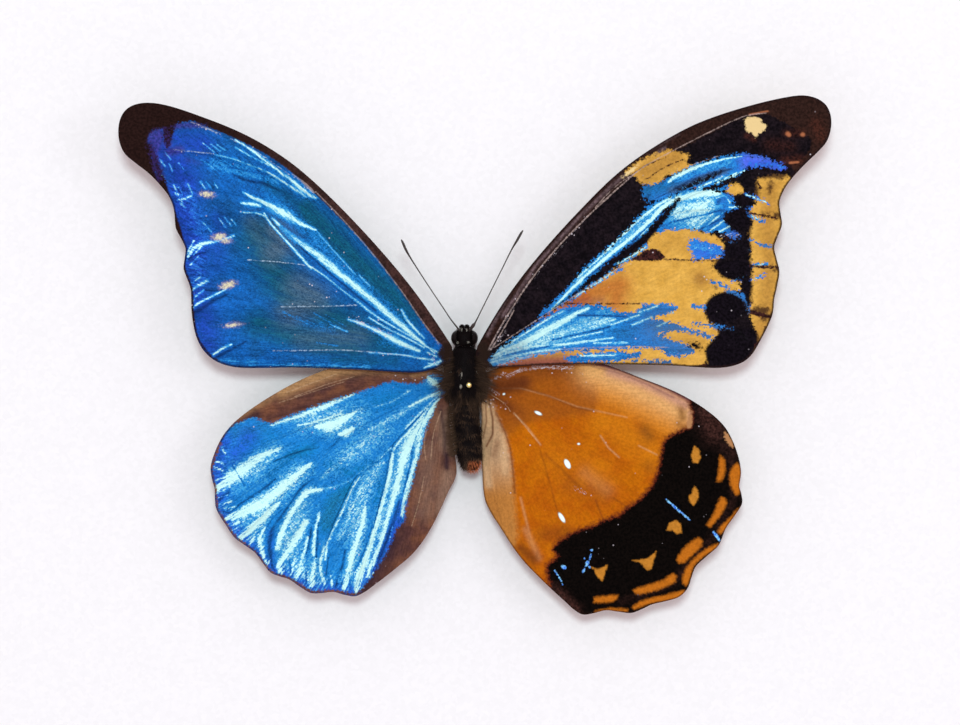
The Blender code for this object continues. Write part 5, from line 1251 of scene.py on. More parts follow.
# Screen colours of the blue scales: two shades of plain blue, and those of the teal, grey and violet fields
FOREWING_BLUES = ((24, 96, 170), (24, 108, 200), (18, 92, 124), (78, 106, 132), (32, 72, 182))
HINDWING_BLUES = ((26, 130, 214), (34, 148, 238), (20, 132, 190), (44, 124, 172), (38, 100, 218))
PATCH_BLUES = ((44, 122, 206), (52, 138, 236), (34, 110, 164), (76, 112, 156), (84, 110, 236))
# Screen colours of the painted highlights on the blue scales, and of the painted shade in their folds
GLOW = (28, 140, 234)
VIOLET_GLOW = (46, 100, 240)
CYAN_HIGHLIGHT = (84, 190, 244)
FOLD_SHADE = (8, 30, 78)


def blue_scales(finish, blues, sparkle, ground):
    """The blue of a wing that shines: its tints, painted shade in its folds and painted highlights in bright
    streaks. Sparkle is how unevenly the painted highlights lie over its scales, and ground how much painted
    highlight lies away from the streaks."""
    plain, bright_plain, teal, grey, violet_blue = [shining(*screen) for screen in blues]
    lights = (GLOW, VIOLET_GLOW, CYAN_HIGHLIGHT, FOLD_SHADE)
    glow_blue, violet_glow, cyan_highlight, painted_fold_shade = [shining(*screen) for screen in lights]
    pleats = finish.mottle(0.9, finish.flow * (0.3, 1.4, 1.0), 4.0)
    fine = finish.mottle(1.0, finish.flow * (0.8, 5.0, 1.0), 3.0)
    scales = finish.scales(6.2, finish.at)
    colour = finish.blend(finish.mottle(0.4, finish.at, 2.0), plain, bright_plain)
    tint = 0.6 + 0.45 * pleats + 0.35 * scales
    colour = finish.blend(finish.field("teal") * tint, colour, teal)
    colour = finish.blend(finish.field("grey") * tint, colour, grey)
    violet = finish.field("violet") * tint
    colour = finish.blend(violet, colour, violet_blue)
    # Brighter and darker along the pleats and fine streaks: painted light and shade on the pleats; each
    # scale also differs in tone at random
    colour = colour * (0.4 + 0.35 * pleats + 0.35 * fine + 0.55 * scales)
    # Painted shade in the creases of the folds, which also dims the painted highlights there
    fold_shade = finish.field("fold_shade") * (0.5 + 0.5 * fine)
    colour = finish.blend(fold_shade.rising(0.15, 1.0) * 0.8, colour, painted_fold_shade)
    # Gleam, ground and the glitter of the scales make the painted highlights, from blue through cyan to near
    # white
    gleam = finish.field("gleam")
    calm = (finish.field("teal") * 0.8 + finish.field("grey") + violet + fold_shade).least(1.0)
    margin = 1 - finish.field("rim").rising(0.4, 3.2)
    grain = (scales - 0.53) * (0.34 + 0.7 * gleam * (1.25 - gleam))
    ripples = (fine - 0.5) * (0.15 + 0.65 * margin)
    light = gleam * (0.74 + 0.42 * fine + 0.24 * pleats) + ground * (1 - 0.75 * calm)
    light = light + (grain + ripples) * sparkle - fold_shade * 0.7
    colour = finish.blend(light.rising(0.08, 0.5), colour, finish.blend(violet, glow_blue, violet_glow))
    colour = finish.blend(light.rising(0.3, 0.78), colour, finish.blend(violet * 0.5, cyan_highlight, glow_blue))
    return finish.blend(light.rising(0.64, 1.16), colour, paint(192, 234, 234))


def under_scales(name, ground, pale, ring_colour):
    """The matt underside: brown, with pale bands across the veins and a row of ring marks."""
    finish = WingFinish(name)
    reach = finish.part(finish.flow, 0)
    waver = finish.grain(0.25, finish.at, 3.0)
    speckle = finish.grain(5.0, finish.at, 2.0, 0.7)
    bands = finish.maths("SINE", reach * 0.42 + waver * 5.0, 0)
    colour = finish.blend(bands.rising(0.45, 0.9) * 0.7, paint(*ground), paint(*pale))
    thin = finish.maths("SINE", reach * 1.7 + waver * 9.0, 0)
    dark = paint(ground[0] * 0.45, ground[1] * 0.4, ground[2] * 0.4)
    colour = finish.blend(thin.rising(0.7, 1.0) * 0.5, colour, dark)
    ring = finish.field("ring") + (speckle - 0.5) * 0.12
    for low, high, screen in (
        (0.9, 1.0, (34, 22, 20)), (0.72, 0.8, ring_colour), (0.45, 0.52, (26, 20, 26)),
        (0.12, 0.2, (226, 224, 214)),
    ):
        colour = finish.blend(1 - ring.rising(low, high), colour, paint(*screen))
    colour = finish.blend(finish.field("vein").rising(0.2, 0.9) * 0.6, colour, paint(58, 38, 26))
    return finish.with_relief(Base_Color=colour * (0.6 + 0.8 * speckle), Roughness=0.85)


def left_forewing_scales(name):
    finish = WingFinish(name).with_noises(3.4, 3.4)
    rough, specks = finish.rough, finish.specks
    colour = blue_scales(finish, FOREWING_BLUES, 0.55, 0.04)
    colour = finish.lines(colour, (158, 182, 206), 0.3, 0.2 + 0.7 * specks)
    front = finish.blend(finish.mottle(0.7, finish.at, 3.0), paint(72, 48, 45), paint(50, 34, 32))
    front = front * (0.6 + 0.6 * finish.mottle(3.0, finish.at, 2.0))
    tip = paint(38, 22, 20) * (0.6 + 0.6 * specks)
    brown = finish.blend(1 - finish.part(finish.at, 0).rising(-34.0, -12.0), front, tip)
    dusk = finish.field("dusk")
    colour = finish.blend(dusk.rising(0.1, 0.9) * 0.75, colour, shining(72, 60, 150) * (0.4 + specks))
    covered = finish.layer("brown", rough * (0.5 + 2.2 * dusk), 0.12)
    colour = finish.blend(covered, colour, brown)
    violet = dusk * covered * (0.2 + 0.9 * specks)
    colour = finish.blend(violet.rising(0.35, 1.0) * 0.7, colour, paint(52, 40, 104))
    colour = finish.lines(colour, (176, 158, 158), 0.2, covered * 0.6)
    spot = finish.field("cream") + rough
    colour = finish.blend(spot.rising(-0.34, 0.05) * 0.5, colour, paint(158, 136, 160))
    colour = finish.blend(spot.rising(-0.14, 0.16), colour, paint(206, 198, 172) * (0.78 + 0.3 * specks))
    return blue_wing(finish, colour, covered)


def left_hindwing_scales(name):
    finish = WingFinish(name).with_noises(3.4, 3.4)
    colour = blue_scales(finish, HINDWING_BLUES, 1.0, 0.3)
    colour = finish.lines(colour, (158, 182, 206), 0.3, 0.2 + 0.7 * finish.specks)
    brown = finish.blend(finish.mottle(0.5, finish.at, 3.0), paint(116, 74, 54), paint(88, 55, 50))
    brown = finish.tint(brown, 1, ("tan", (166, 127, 88)), ("buff", (138, 110, 94)), ("soot", (54, 37, 45)))
    brown = brown * (0.7 + 0.34 * finish.streaks + 0.25 * finish.specks)
    covered = finish.layer("brown", finish.rough * 1.5, 0.16)
    colour = finish.blend(covered, colour, brown)
    return blue_wing(finish, finish.lines(colour, (186, 156, 128), 0.2, covered * 0.5), covered)


def blue_wing(finish, colour, covered):
    """A blue wing's material, with a dark rim outside its brown parts."""
    margin = 1 - (finish.field("rim") + finish.rough * 0.2).rising(0.12, 0.34)
    colour = finish.blend(margin * (1 - covered) * 0.85, colour, paint(16, 18, 52))
    return finish.complete(colour, Metallic=(1 - covered) * 0.25, Roughness=0.5 + covered * 0.35)


def right_forewing_scales(name):
    finish = WingFinish(name).with_noises(2.6, 3.2)
    rough, speckle, streaks = finish.rough, finish.specks, finish.streaks
    mottle = finish.mottle(0.8, finish.at, 3.0)
    colour = finish.blend(mottle, paint(14, 10, 15), paint(26, 19, 24))
    colour = finish.blend(finish.layer("brown", rough), colour, paint(44, 27, 23))
    colour = finish.tint(colour, 0.4 + 0.8 * streaks, ("edge", (100, 82, 86)))
    colour = finish.tint(colour * (0.6 + 0.8 * speckle), 0.2 + 0.8 * speckle, ("ruddy", (88, 44, 32)))
    tan = (finish.field("tan") + rough * 0.8).rising(0.2, 1.0)
    colour = finish.blend(tan * 0.85, colour, paint(180, 110, 74))
    ochre = finish.blend(mottle, paint(222, 172, 80), paint(208, 158, 68))
    warm = (("rust", (178, 98, 42)), ("russet", (144, 84, 68)), ("olive", (172, 124, 56)))
    ochre = finish.tint(ochre, 1, *warm)
    ochre = ochre * (0.82 + 0.14 * streaks + 0.22 * speckle)
    sooty = (finish.field("sooty") + rough * 1.8).rising(0.2, 1.0)
    ochre = finish.blend(sooty * 0.9, ochre, paint(58, 34, 26))
    colour = finish.blend(finish.layer("ochre", rough * 1.9, 0.2), colour, ochre)
    blue = blue_scales(finish, PATCH_BLUES, 0.75, 0.26)
    blue = finish.blend(finish.field("slate") * (0.5 + 0.5 * speckle), blue, shining(76, 114, 160))
    on_blue = finish.layer("blue", rough * 1.3 + (finish.scales(4.6, finish.at) - 0.5) * 0.5, 0.1)
    colour = finish.blend(on_blue, colour, blue)
    black = paint(16, 11, 18) * (0.4 + 1.1 * speckle)
    colour = finish.blend(finish.layer("black", rough * 1.8, 0.22), colour, black)
    umber = finish.blend(speckle, paint(26, 13, 15), paint(72, 38, 36))
    colour = finish.blend(finish.layer("umber_marks", rough * 0.8, 0.1), colour, umber)
    colour = finish.blend(finish.layer("cream", rough, 0.12), colour, paint(230, 202, 144))
    colour = finish.lines(colour, (186, 164, 158), 0.25, 0.3 + 0.6 * speckle)
    scallops = (finish.field("rim") + rough * 0.4).rising(0.1, 0.34)
    colour = finish.blend((1 - scallops) * 0.9, colour, paint(36, 22, 22))
    return finish.complete(colour, Metallic=on_blue * 0.25, Roughness=0.8 - on_blue * 0.3)


def right_hindwing_scales(name):
    finish = WingFinish(name).with_noises(2.6, 3.2)
    rough, speckle, streaks = finish.rough, finish.specks, finish.streaks
    vary = 0.84 + 0.12 * streaks + 0.22 * speckle
    soft = 0.92 + 0.1 * streaks
    colour = finish.blend(finish.mottle(0.5, finish.at, 3.0), paint(172, 86, 8), paint(186, 102, 8))
    colour = finish.tint(colour, 1, ("golden", (200, 120, 20)))
    basal = (finish.field("basal") + rough).rising(-0.7, 0.5)
    colour = finish.blend(basal * 0.75 * soft, colour, paint(146, 78, 22))
    colour = finish.tint(
        colour, soft, ("sienna", (120, 62, 26)), ("peach", (216, 162, 100)), ("blush", (192, 142, 118)),
        ("rose", (112, 70, 70)),
    )
    towards_head = finish.part(finish.at, 1).rising(-14.0, -8.0)
    anal = finish.blend(towards_head, paint(178, 118, 56), paint(188, 152, 116))
    colour = finish.blend(finish.layer("anal", rough * 1.2, 0.5), colour, anal)
    shades = (("buff", (206, 168, 126)), ("dusky", (96, 46, 20)), ("smudge", (112, 68, 24)))
    colour = finish.tint(colour, soft, *shades)
    black = finish.tint(paint(9, 5, 4), 0.5 + streaks, ("umber", (58, 34, 30))) * (0.4 + 1.1 * speckle)
    dusk = (finish.field("black") + rough * 1.4).rising(-0.8, 0.05)
    colour = finish.blend(dusk, colour * vary, paint(84, 30, 20) * vary)
    colour = finish.blend(finish.layer("black", rough * 1.4, 0.2), colour, black)
    spots = (finish.field("spots") + rough * 0.5).rising(-0.12, 0.16)
    colour = finish.blend(spots, colour, paint(186, 122, 42) * vary)
    crescents = (finish.field("crescents") + rough * 0.6).rising(-0.26, 0.24)
    colour = finish.blend(crescents, colour, paint(184, 104, 24) * vary)
    colour = finish.blend(finish.layer("flecks", rough, 0.14), colour, paint(176, 126, 84))
    sky = finish.blend(finish.scales(5.0, finish.at), paint(30, 96, 226), paint(150, 222, 255))
    colour = finish.blend(finish.layer("blue", rough * 0.5, 0.06), colour, sky)
    frost = finish.field("frost")
    colour = finish.blend(frost.rising(-0.1, 0.0) * 0.7, colour, paint(150, 190, 186))
    colour = finish.blend(frost.rising(-0.05, 0.03), colour, paint(236, 250, 255))
    colour = finish.lines(colour, (214, 178, 140), 0.2, 0.6)
    margin = 1 - finish.field("rim").rising(0.05, 0.25)
    colour = finish.blend(margin * 0.6, colour, paint(40, 24, 18))
    return finish.complete(colour, Roughness=0.8)


blue_under = under_scales("blue_wing_underside", (112, 84, 62), (196, 176, 146), (186, 142, 66))
orange_under = under_scales("orange_wing_underside", (150, 104, 62), (214, 186, 142), (206, 158, 72))

for name, plan, slot, scales, under in (
    ("left_forewing", LEFT_FOREWING, "blue_forewing", left_forewing_scales, blue_under),
    ("left_hindwing", LEFT_HINDWING, "blue_hindwing", left_hindwing_scales, blue_under),
    ("right_forewing", RIGHT_FOREWING, "orange_forewing", right_forewing_scales, orange_under),
    ("right_hindwing", RIGHT_HINDWING, "orange_hindwing", right_hindwing_scales, orange_under),
):
    wing(name, plan, slot, scales(slot + "_scales"), under)


# Body, fur and limbs ---------------------------------------------------------------------------------------

MIDDLE = -0.55  # x of the head's middle line
BODY_SIDES = 48
THORAX = [  # y, middle x, half width, top, bottom
    (4.6, -0.55, 1.2, 6.0, 3.0), (4.25, -0.55, 1.6, 6.5, 2.4), (3.0, -0.52, 2.25, 7.0, 1.85),
    (1.4, -0.5, 2.65, 7.2, 1.7), (-0.2, -0.47, 2.55, 7.05, 1.75), (-1.6, -0.42, 2.1, 6.65, 2.15),
    (-2.3, -0.36, 1.6, 6.15, 2.7),
]
ABDOMEN = [
    (-2.42, -0.35, 1.55, 6.2, 2.75), (-4.4, -0.24, 1.6, 6.0, 2.7), (-6.4, -0.12, 1.62, 5.8, 2.7),
    (-8.4, 0.05, 1.55, 5.5, 2.8), (-9.4, 0.13, 1.3, 5.1, 3.05), (-10.0, 0.19, 1.0, 4.8, 3.4),
    (-10.3, 0.22, 0.7, 4.5, 3.7),
]
HEAD = [
    (6.6, -0.57, 0.55, 5.1, 4.0), (6.35, -0.57, 0.85, 5.7, 3.6), (5.8, -0.56, 0.84, 6.1, 3.2),
    (5.2, -0.55, 0.84, 6.05, 3.25), (4.75, -0.55, 0.84, 5.75, 3.65),
]
SEGMENTS = 7  # of the abdomen


def body_shell(stations, inset, segments=0):
    """Corners and triangles of a closed body through rings of (y, middle x, half width, top, bottom)."""
    path = smooth_line(stations, 0.15)
    angles = np.arange(BODY_SIDES) * 2 * math.pi / BODY_SIDES
    rings = []
    for number, (y, x, half, top, low) in enumerate(path):
        share = number / (len(path) - 1)
        shrink = 1.0
        if segments:
            shrink -= 0.05 * (1 - abs(math.sin(math.pi * segments * share)) ** 0.5)
        across = (half - inset) * shrink
        tall = ((top - low) / 2 - inset) * shrink
        rings.append(np.column_stack([
            x + across * np.cos(angles), np.full(BODY_SIDES, y), (top + low) / 2 + tall * np.sin(angles)
        ]))
    corners = np.vstack(rings + [rings[0].mean(0), rings[-1].mean(0)])
    return corners, ring_faces(len(rings), BODY_SIDES)


def ring_faces(rings, sides):
    """Triangles that join rings of corners, and close both ends on the two corners after them."""
    faces = []
    onward = np.roll(np.arange(sides), -1)
    here = np.arange(sides)
    for ring in range(rings - 1):
        a, b = ring * sides, (ring + 1) * sides
        faces.append(np.column_stack([a + here, a + onward, b + onward]))
        faces.append(np.column_stack([a + here, b + onward, b + here]))
    first, last = rings * sides, rings * sides + 1
    faces.append(np.column_stack([np.full(sides, first), onward, here]))
    end = (rings - 1) * sides
    faces.append(np.column_stack([np.full(sides, last), end + here, end + onward]))
    return np.vstack(faces)


def frames_along(points):
    """The way onward and two ways across at each point of a line, carried along so that they don't twist."""
    onward = np.gradient(points, axis=0)
    onward /= np.linalg.norm(onward, axis=1)[:, None]
    across = np.cross(onward[0], (0.3, 0.2, 1.0))
    made = []
    for way in onward:
        across = across - (across @ way) * way
        across = across / np.linalg.norm(across)
        made.append(across)
    made = np.array(made)
    return onward, made, np.cross(onward, made)


def tube(points, sides, step, swell=0.0, every=0.5):
    """A round limb through points of (x, y, z, radius), with joints that swell its radius by a share."""
    path = smooth_line(points, step)
    centres, radii = path[:, :3], path[:, 3]
    length = np.concatenate([[0], np.cumsum(np.linalg.norm(np.diff(centres, axis=0), axis=1))])
    radii = radii * (1 - swell + swell * np.abs(np.sin(math.pi * length / every)) ** 0.4)
    _, u, v = frames_along(centres)
    angles = np.arange(sides) * 2 * math.pi / sides
    ring = np.cos(angles)[None, :, None] * u[:, None] + np.sin(angles)[None, :, None] * v[:, None]
    corners = (centres[:, None] + radii[:, None, None] * ring).reshape(-1, 3)
    corners = np.vstack([corners, centres[:1], centres[-1:]])
    return corners, ring_faces(len(path), sides)


def together(parts):
    """Several meshes' corners and triangles as one."""
    corners, faces, start = [], [], 0
    for some_corners, some_faces in parts:
        corners.append(some_corners)
        faces.append(some_faces + start)
        start += len(some_corners)
    return np.vstack(corners), np.vstack(faces)


def spread_over(rng, corners, triangles, count):
    """Random points all over a surface, and the ways that it faces there."""
    a, b, c = (corners[triangles[:, k]] for k in range(3))
    normal = np.cross(b - a, c - a)
    area = np.linalg.norm(normal, axis=1)
    pick = rng.choice(len(triangles), count, p=area / area.sum())
    s, t = rng.random((2, count))
    flip = s + t > 1
    s[flip], t[flip] = 1 - s[flip], 1 - t[flip]
    points = a[pick] + s[:, None] * (b - a)[pick] + t[:, None] * (c - a)[pick]
    return points, normal[pick] / area[pick][:, None]


def strands(rng, roots, ways, lengths, thickness, bends):
    """Tapered hairs. Gives their corners and triangles, and how far along its hair each corner is."""
    count = len(roots)
    ways = ways / np.linalg.norm(ways, axis=1)[:, None]
    u = np.cross(ways, rng.normal(size=(count, 3)))
    u /= np.linalg.norm(u, axis=1)[:, None]
    v = np.cross(ways, u)
    layers = []
    for along, width in STRAND_RINGS:
        centre = roots + (ways * along + bends * along**2) * lengths[:, None]
        for side in range(STRAND_SIDES):
            angle = 2 * math.pi * side / STRAND_SIDES
            offset = math.cos(angle) * u + math.sin(angle) * v
            layers.append(centre + thickness[:, None] * width * offset)
    layers.append(roots + (ways + bends) * lengths[:, None])
    corners = np.stack(layers, 1)
    tip = STRAND_CORNERS - 1
    faces = [(2, 1, 0)]
    for ring in range(0, tip, STRAND_SIDES):
        for side in range(STRAND_SIDES):
            a, b = ring + side, ring + (side + 1) % STRAND_SIDES
            if ring + STRAND_SIDES == tip:
                faces.append((a, b, tip))
            else:
                faces += [(a, b, b + STRAND_SIDES), (a, b + STRAND_SIDES, a + STRAND_SIDES)]
    faces = np.array(faces)[None] + (np.arange(count) * STRAND_CORNERS)[:, None, None]
    shares = np.append(np.repeat([along for along, _ in STRAND_RINGS], STRAND_SIDES), 1.0)
    return corners.reshape(-1, 3), faces.reshape(-1, 3), np.tile(shares, count)


def fur(node, shell, coat):
    """A furry piece: a solid shell, as its corners and triangles, with hairs on it. The coat lists layers of
    hairs as (count, length, thickness, lift, comb, tone, where), of which the last is a function that tells
    which roots keep their hairs."""
    corners, triangles = shell
    parts = [shell]
    reach = [np.zeros(len(corners))]
    shade = [np.full(len(corners), 0.3)]
    tone = [np.zeros(len(corners))]
    for count, length, thickness, lift, comb, tint, where in coat:
        roots, normals = spread_over(rng, corners, triangles, count)
        kept = where(roots)
        roots, normals = roots[kept], normals[kept]
        count = len(roots)
        ways = lift * normals + comb(roots) + rng.normal(0, STRAND_UNEVENNESS, (count, 3))
        lengths = length * rng.uniform(0.6, 1.2, count)
        widths = thickness * rng.uniform(0.7, 1.2, count)
        bends = 0.5 * comb(roots) - 0.25 * lift * normals
        made, faces, along = strands(rng, roots - 0.05 * normals, ways, lengths, widths, bends)
        parts.append((made, faces))
        reach.append(along)
        shade.append(np.repeat(rng.random(count), STRAND_CORNERS))
        tone.append(np.repeat(tint(roots), STRAND_CORNERS))
    piece = mesh_piece(node + "_fur", *together(parts), [dark_fur], node, "fur")
    for name, values in (("reach", reach), ("shade", shade), ("tone", tone)):
        store(piece, name, np.concatenate(values))


def fur_finish(name, dark, brown, pale, glint):
    """Hair that runs from dark to brown to pale with its tone, with a few tufts painted near white as
    glints.
    """
    finish = Finish(name)
    reach, shade, tone = finish.field("reach"), finish.field("shade"), finish.field("tone")
    colour = finish.blend(tone.rising(0.0, 0.5), paint(*dark), paint(*brown))
    colour = finish.blend(tone.rising(0.5, 1.0), colour, paint(*pale))
    # Painted glints on a few tufts
    colour = finish.blend(tone.rising(1.2, 1.4), colour, paint(*glint))
    colour = colour * (0.3 + 1.0 * shade) * (0.6 + 0.7 * reach)
    return finish.apply(Base_Color=colour, Roughness=0.65, Specular_IOR_Level=0.06)


def combed(back, outwards=0.0, up=0.0):
    """A coat combed towards the tail, outwards from the middle line, and up."""

    def comb(points):
        side = np.sign(points[:, 0] - MIDDLE)
        return np.column_stack([outwards * side, np.full(len(points), -back), np.full(len(points), up)])

    return comb


def everywhere(points):
    return np.full(len(points), True)


def within(width, y, z):
    """Roots at least as far from the middle line as width, and between two values of y and of z."""

    def where(points):
        aside = np.abs(points[:, 0] - MIDDLE) > width
        along = (y[0] < points[:, 1]) & (points[:, 1] < y[1])
        return aside & along & (z[0] < points[:, 2]) & (points[:, 2] < z[1])

    return where


def leftwards(where):
    return lambda points: where(points) & (points[:, 0] < MIDDLE)


def toned(value, *glint_tufts):
    """One tone all over, but for tufts at points of (x, y), painted near white as glints."""
    return lambda points: with_glint_tufts(points, np.full(len(points), value), glint_tufts)


# Painted glints: hairs near the given points take the fur's near-white glint colour
def with_glint_tufts(points, tone, glint_tufts):
    for x, y in glint_tufts:
        tone[(np.hypot(points[:, 0] - x, points[:, 1] - y) < 0.13) & (points[:, 2] > 4)] = 2.0
    return tone


def thorax_tone(points):
    """Browner low on the sides and towards the tail, with worn patches and a few tufts painted as glints."""
    x, y, _ = points.T
    side = smooth_step(1.3, 2.3, np.abs(x - MIDDLE))
    worn = smooth_step(0.3, 0.9, np.sin(3.1 * x + 1.7) * np.sin(2.3 * y + 0.5))
    tone = 0.45 * side + 0.16 * smooth_step(0.0, -2.0, y) + 0.25 * worn * smooth_step(3.6, 2.6, y)
    return with_glint_tufts(points, tone, [(-2.05, 1.8), (0.74, 1.8), (-0.94, 0.05), (-0.86, 1.55)])


def abdomen_tone(points):
    """Faint bands across the back, two browner folds, and an orange tip that is brighter on the right."""
    x, y, _ = points.T
    tone = 0.16 * smooth_step(0.2, 0.9, np.sin(y * 4.2 + 1.0)) + 0.11 * (1 + np.sin(3 * x + 2 * y))
    for ax, ay, bx, by in ((-0.8, -3.4, 1.0, -3.7), (-1.2, -6.6, 0.9, -5.8), (-0.2, -7.4, 1.0, -7.9)):
        distance, _ = nearest_on(points[:, :2], np.array([(ax, ay), (bx, by)]))
        tone = np.maximum(tone, 0.55 * np.exp(-((distance / 0.14) ** 2)))
    tip = smooth_step(-8.3, -9.3, y) * smooth_step(-1.1, 0.3, x)
    return np.maximum(tone, 0.95 * tip)


rng = np.random.default_rng(7)
# The last colour of the fur is the painted glint of a few tufts
dark_fur = fur_finish("dark_fur", (26, 19, 21), (100, 78, 62), (216, 124, 80), (232, 226, 214))

# Round the wings' roots the hairs stand out from the sides, and at the rear they lie on the abdomen.
thorax_coat = [
    (6000, 0.5, 0.022, 0.7, combed(0.7, 0.1), thorax_tone, everywhere),
    (1200, 0.75, 0.016, 0.7, combed(0.9, 0.2), thorax_tone, everywhere),
    (9000, 1.1, 0.018, 0.1, combed(0.2, 1.0, 0.05), toned(0.24), within(1.0, (-0.4, 4.5), (6.08, 7.0))),
    (9000, 1.7, 0.02, 0.0, combed(0.0, 1.0), toned(0.55), within(1.9, (0.9, 2.5), (5.0, 5.5))),
    (5000, 1.4, 0.02, 0.1, combed(0.5, 1.0), toned(0.36), within(1.7, (-2.2, 1.0), (4.9, 6.4))),
    (2600, 1.2, 0.018, 0.15, combed(1.0, 0.25), toned(0.3), within(0.0, (-2.3, -1.2), (4.6, 7.0))),
]
fur("thorax", body_shell(THORAX, 0.3), thorax_coat)
abdomen_coat = [
    (4200, 0.4, 0.02, 0.55, combed(0.8), abdomen_tone, everywhere),
    (900, 0.6, 0.016, 0.5, combed(0.8, 0.3), abdomen_tone, everywhere),
    (9000, 0.85, 0.02, 0.0, combed(0.4, 1.1), toned(0.45), leftwards(within(0.7, (-8.3, -2.4), (3.6, 5.0)))),
]
fur("abdomen", body_shell(ABDOMEN, 0.1, SEGMENTS), abdomen_coat)
# The points in the head's coat are tufts painted near white as glints
head_coat = [
    (2600, 0.26, 0.018, 0.8, combed(0.1), toned(0.05, (-1.31, 5.1), (-0.14, 5.14)), everywhere),
    (
        900, 0.4, 0.018, 0.5, combed(-0.7, 0.0, 0.2), toned(0.05, (-0.9, 6.5), (-0.28, 6.5)),
        within(0.0, (6.1, 6.7), (4, 6)),
    ),
]
fur("head", body_shell(HEAD, -0.1), head_coat)

PALP = [(0.3, 6.75, 3.7, 0.13), (0.36, 6.95, 4.4, 0.2), (0.3, 7.0, 5.1, 0.2), (0.2, 7.05, 5.65, 0.08)]
palp_coat = [(700, 0.26, 0.018, 0.9, combed(0.0, -0.1, 0.3), toned(0.08), everywhere)]
for side, node in ((-1, "left_palp"), (1, "right_palp")):
    fur(node, tube([(MIDDLE + side * x, y, z, r) for x, y, z, r in PALP], 12, 0.1), palp_coat)

# Eyes

eye_finish = Finish("eye_glaze")
facets = eye_finish.cells(22.0, eye_finish.place())
eye_finish.apply(
    Base_Color=eye_finish.blend(eye_finish.grain(1.5), paint(14, 9, 10), paint(24, 17, 17)),
    Roughness=0.3, Coat_Weight=0.02, Specular_IOR_Level=0.08, Normal=eye_finish.bumps(facets, 0.006),
)
EYE_RADII = np.array((0.82, 0.95, 1.2))
EYE_BACK = 0.18  # how far the flat back is from the ball's middle
EYE_PLACE = (0.8, 5.65, 4.75)  # of the ball's middle, from the head's middle line


def eye(side):
    """A ball with the flat back of its CAD piece, as corners and faces."""
    bm = bmesh.new()
    bmesh.ops.create_icosphere(bm, subdivisions=5, radius=1)
    corners = np.array([vert.co for vert in bm.verts])
    faces = np.array([[vert.index for vert in face.verts] for face in bm.faces])
    bm.free()
    corners *= EYE_RADII
    corners[:, 0] = np.maximum(corners[:, 0], EYE_BACK)
    corners[:, 0] = side * corners[:, 0]
    if side < 0:
        faces = faces[:, ::-1]
    x, y, z = EYE_PLACE
    return corners + (MIDDLE + side * x, y, z), faces


for side, node in ((-1, "left_eye"), (1, "right_eye")):
    mesh_piece(node + "_glaze", *eye(side), [eye_finish.material], node, "eye")

# Antennae, legs and tongue

horn = Finish("dark_horn")
horn_grain = horn.grain(4.0, None, 3.0)
horn.apply(
    Base_Color=horn.blend(horn_grain, paint(26, 20, 20), paint(58, 44, 40)), Roughness=0.5,
    Normal=horn.bumps(horn.grain(12.0, None, 2.0), 0.01),
)

LEFT_ANTENNA = [
    (-1.1, 6.5, 5.65, 0.12), (-2.2, 7.9, 6.3, 0.08), (-3.0, 9.1, 6.6, 0.07), (-5.0, 12.1, 7.2, 0.07),
    (-6.8, 14.9, 7.7, 0.09), (-7.5, 16.1, 7.9, 0.15), (-7.9, 17.0, 8.1, 0.15), (-8.1, 17.4, 8.2, 0.08),
]
RIGHT_ANTENNA = [
    (0.0, 6.5, 5.55, 0.13), (0.5, 7.15, 6.0, 0.22), (0.85, 7.7, 6.2, 0.09), (2.0, 10.0, 6.8, 0.07),
    (4.0, 14.0, 7.5, 0.07), (5.1, 16.2, 7.9, 0.09), (5.75, 17.3, 8.1, 0.15), (6.2, 18.1, 8.2, 0.15),
    (6.45, 18.5, 8.3, 0.08),
]
LEGS = {
    "foreleg": [
        (0.7, 3.4, 1.7, 0.26), (0.95, 4.2, 1.85, 0.2), (1.1, 4.95, 2.05, 0.16), (1.15, 5.35, 1.95, 0.14),
        (1.12, 5.4, 1.65, 0.13), (1.05, 5.1, 1.35, 0.12), (0.98, 4.6, 1.15, 0.1),
    ],
    "midleg": [
        (1.0, 1.6, 1.45, 0.32), (1.7, 2.1, 1.6, 0.34), (3.6, 3.2, 3.0, 0.26), (4.2, 3.5, 2.9, 0.22),
        (5.2, 4.2, 0.9, 0.18), (5.5, 4.5, 0.3, 0.18), (6.0, 5.1, 0.17, 0.16), (7.0, 6.2, 0.16, 0.14),
    ],
    "hindleg": [
        (0.95, -0.3, 1.45, 0.32), (1.6, -0.8, 1.6, 0.34), (3.6, -2.4, 2.9, 0.26), (4.1, -2.9, 2.8, 0.22),
        (5.2, -4.3, 0.9, 0.18), (5.6, -4.8, 0.3, 0.18), (6.0, -5.5, 0.17, 0.16), (6.8, -7.0, 0.16, 0.14),
    ],
}
LEG_MIDDLE = -0.5


def limb_piece(name, node, shape, bristles=0):
    """A limb of dark horn, with bristles that stand out from it."""
    corners, faces = shape
    if bristles:
        roots, normals = spread_over(rng, corners, faces, bristles)
        ways = normals + rng.normal(0, 0.15, (bristles, 3))
        lengths, widths = np.full(bristles, BRISTLE_LENGTH), np.full(bristles, BRISTLE_WIDTH)
        made, hair_faces, _ = strands(rng, roots, ways, lengths, widths, 0 * ways)
        made[:, 2] = np.maximum(made[:, 2], 0.01)
        corners, faces = together([(corners, faces), (made, hair_faces)])
    mesh_piece(name, corners, faces, [horn.material], node, "leg")


for node, stations in (("left_antenna", LEFT_ANTENNA), ("right_antenna", RIGHT_ANTENNA)):
    limb_piece(node + "_segments", node, tube(stations, 10, 0.08, 0.14, 0.32))
for kind, stations in LEGS.items():
    for side, word in ((-1, "left"), (1, "right")):
        shape = tube([(LEG_MIDDLE + side * x, y, z, r) for x, y, z, r in stations], 12, 0.12, 0.06, 0.7)
        limb_piece(f"{word}_{kind}_bristled", f"{word}_{kind}", shape, 260)

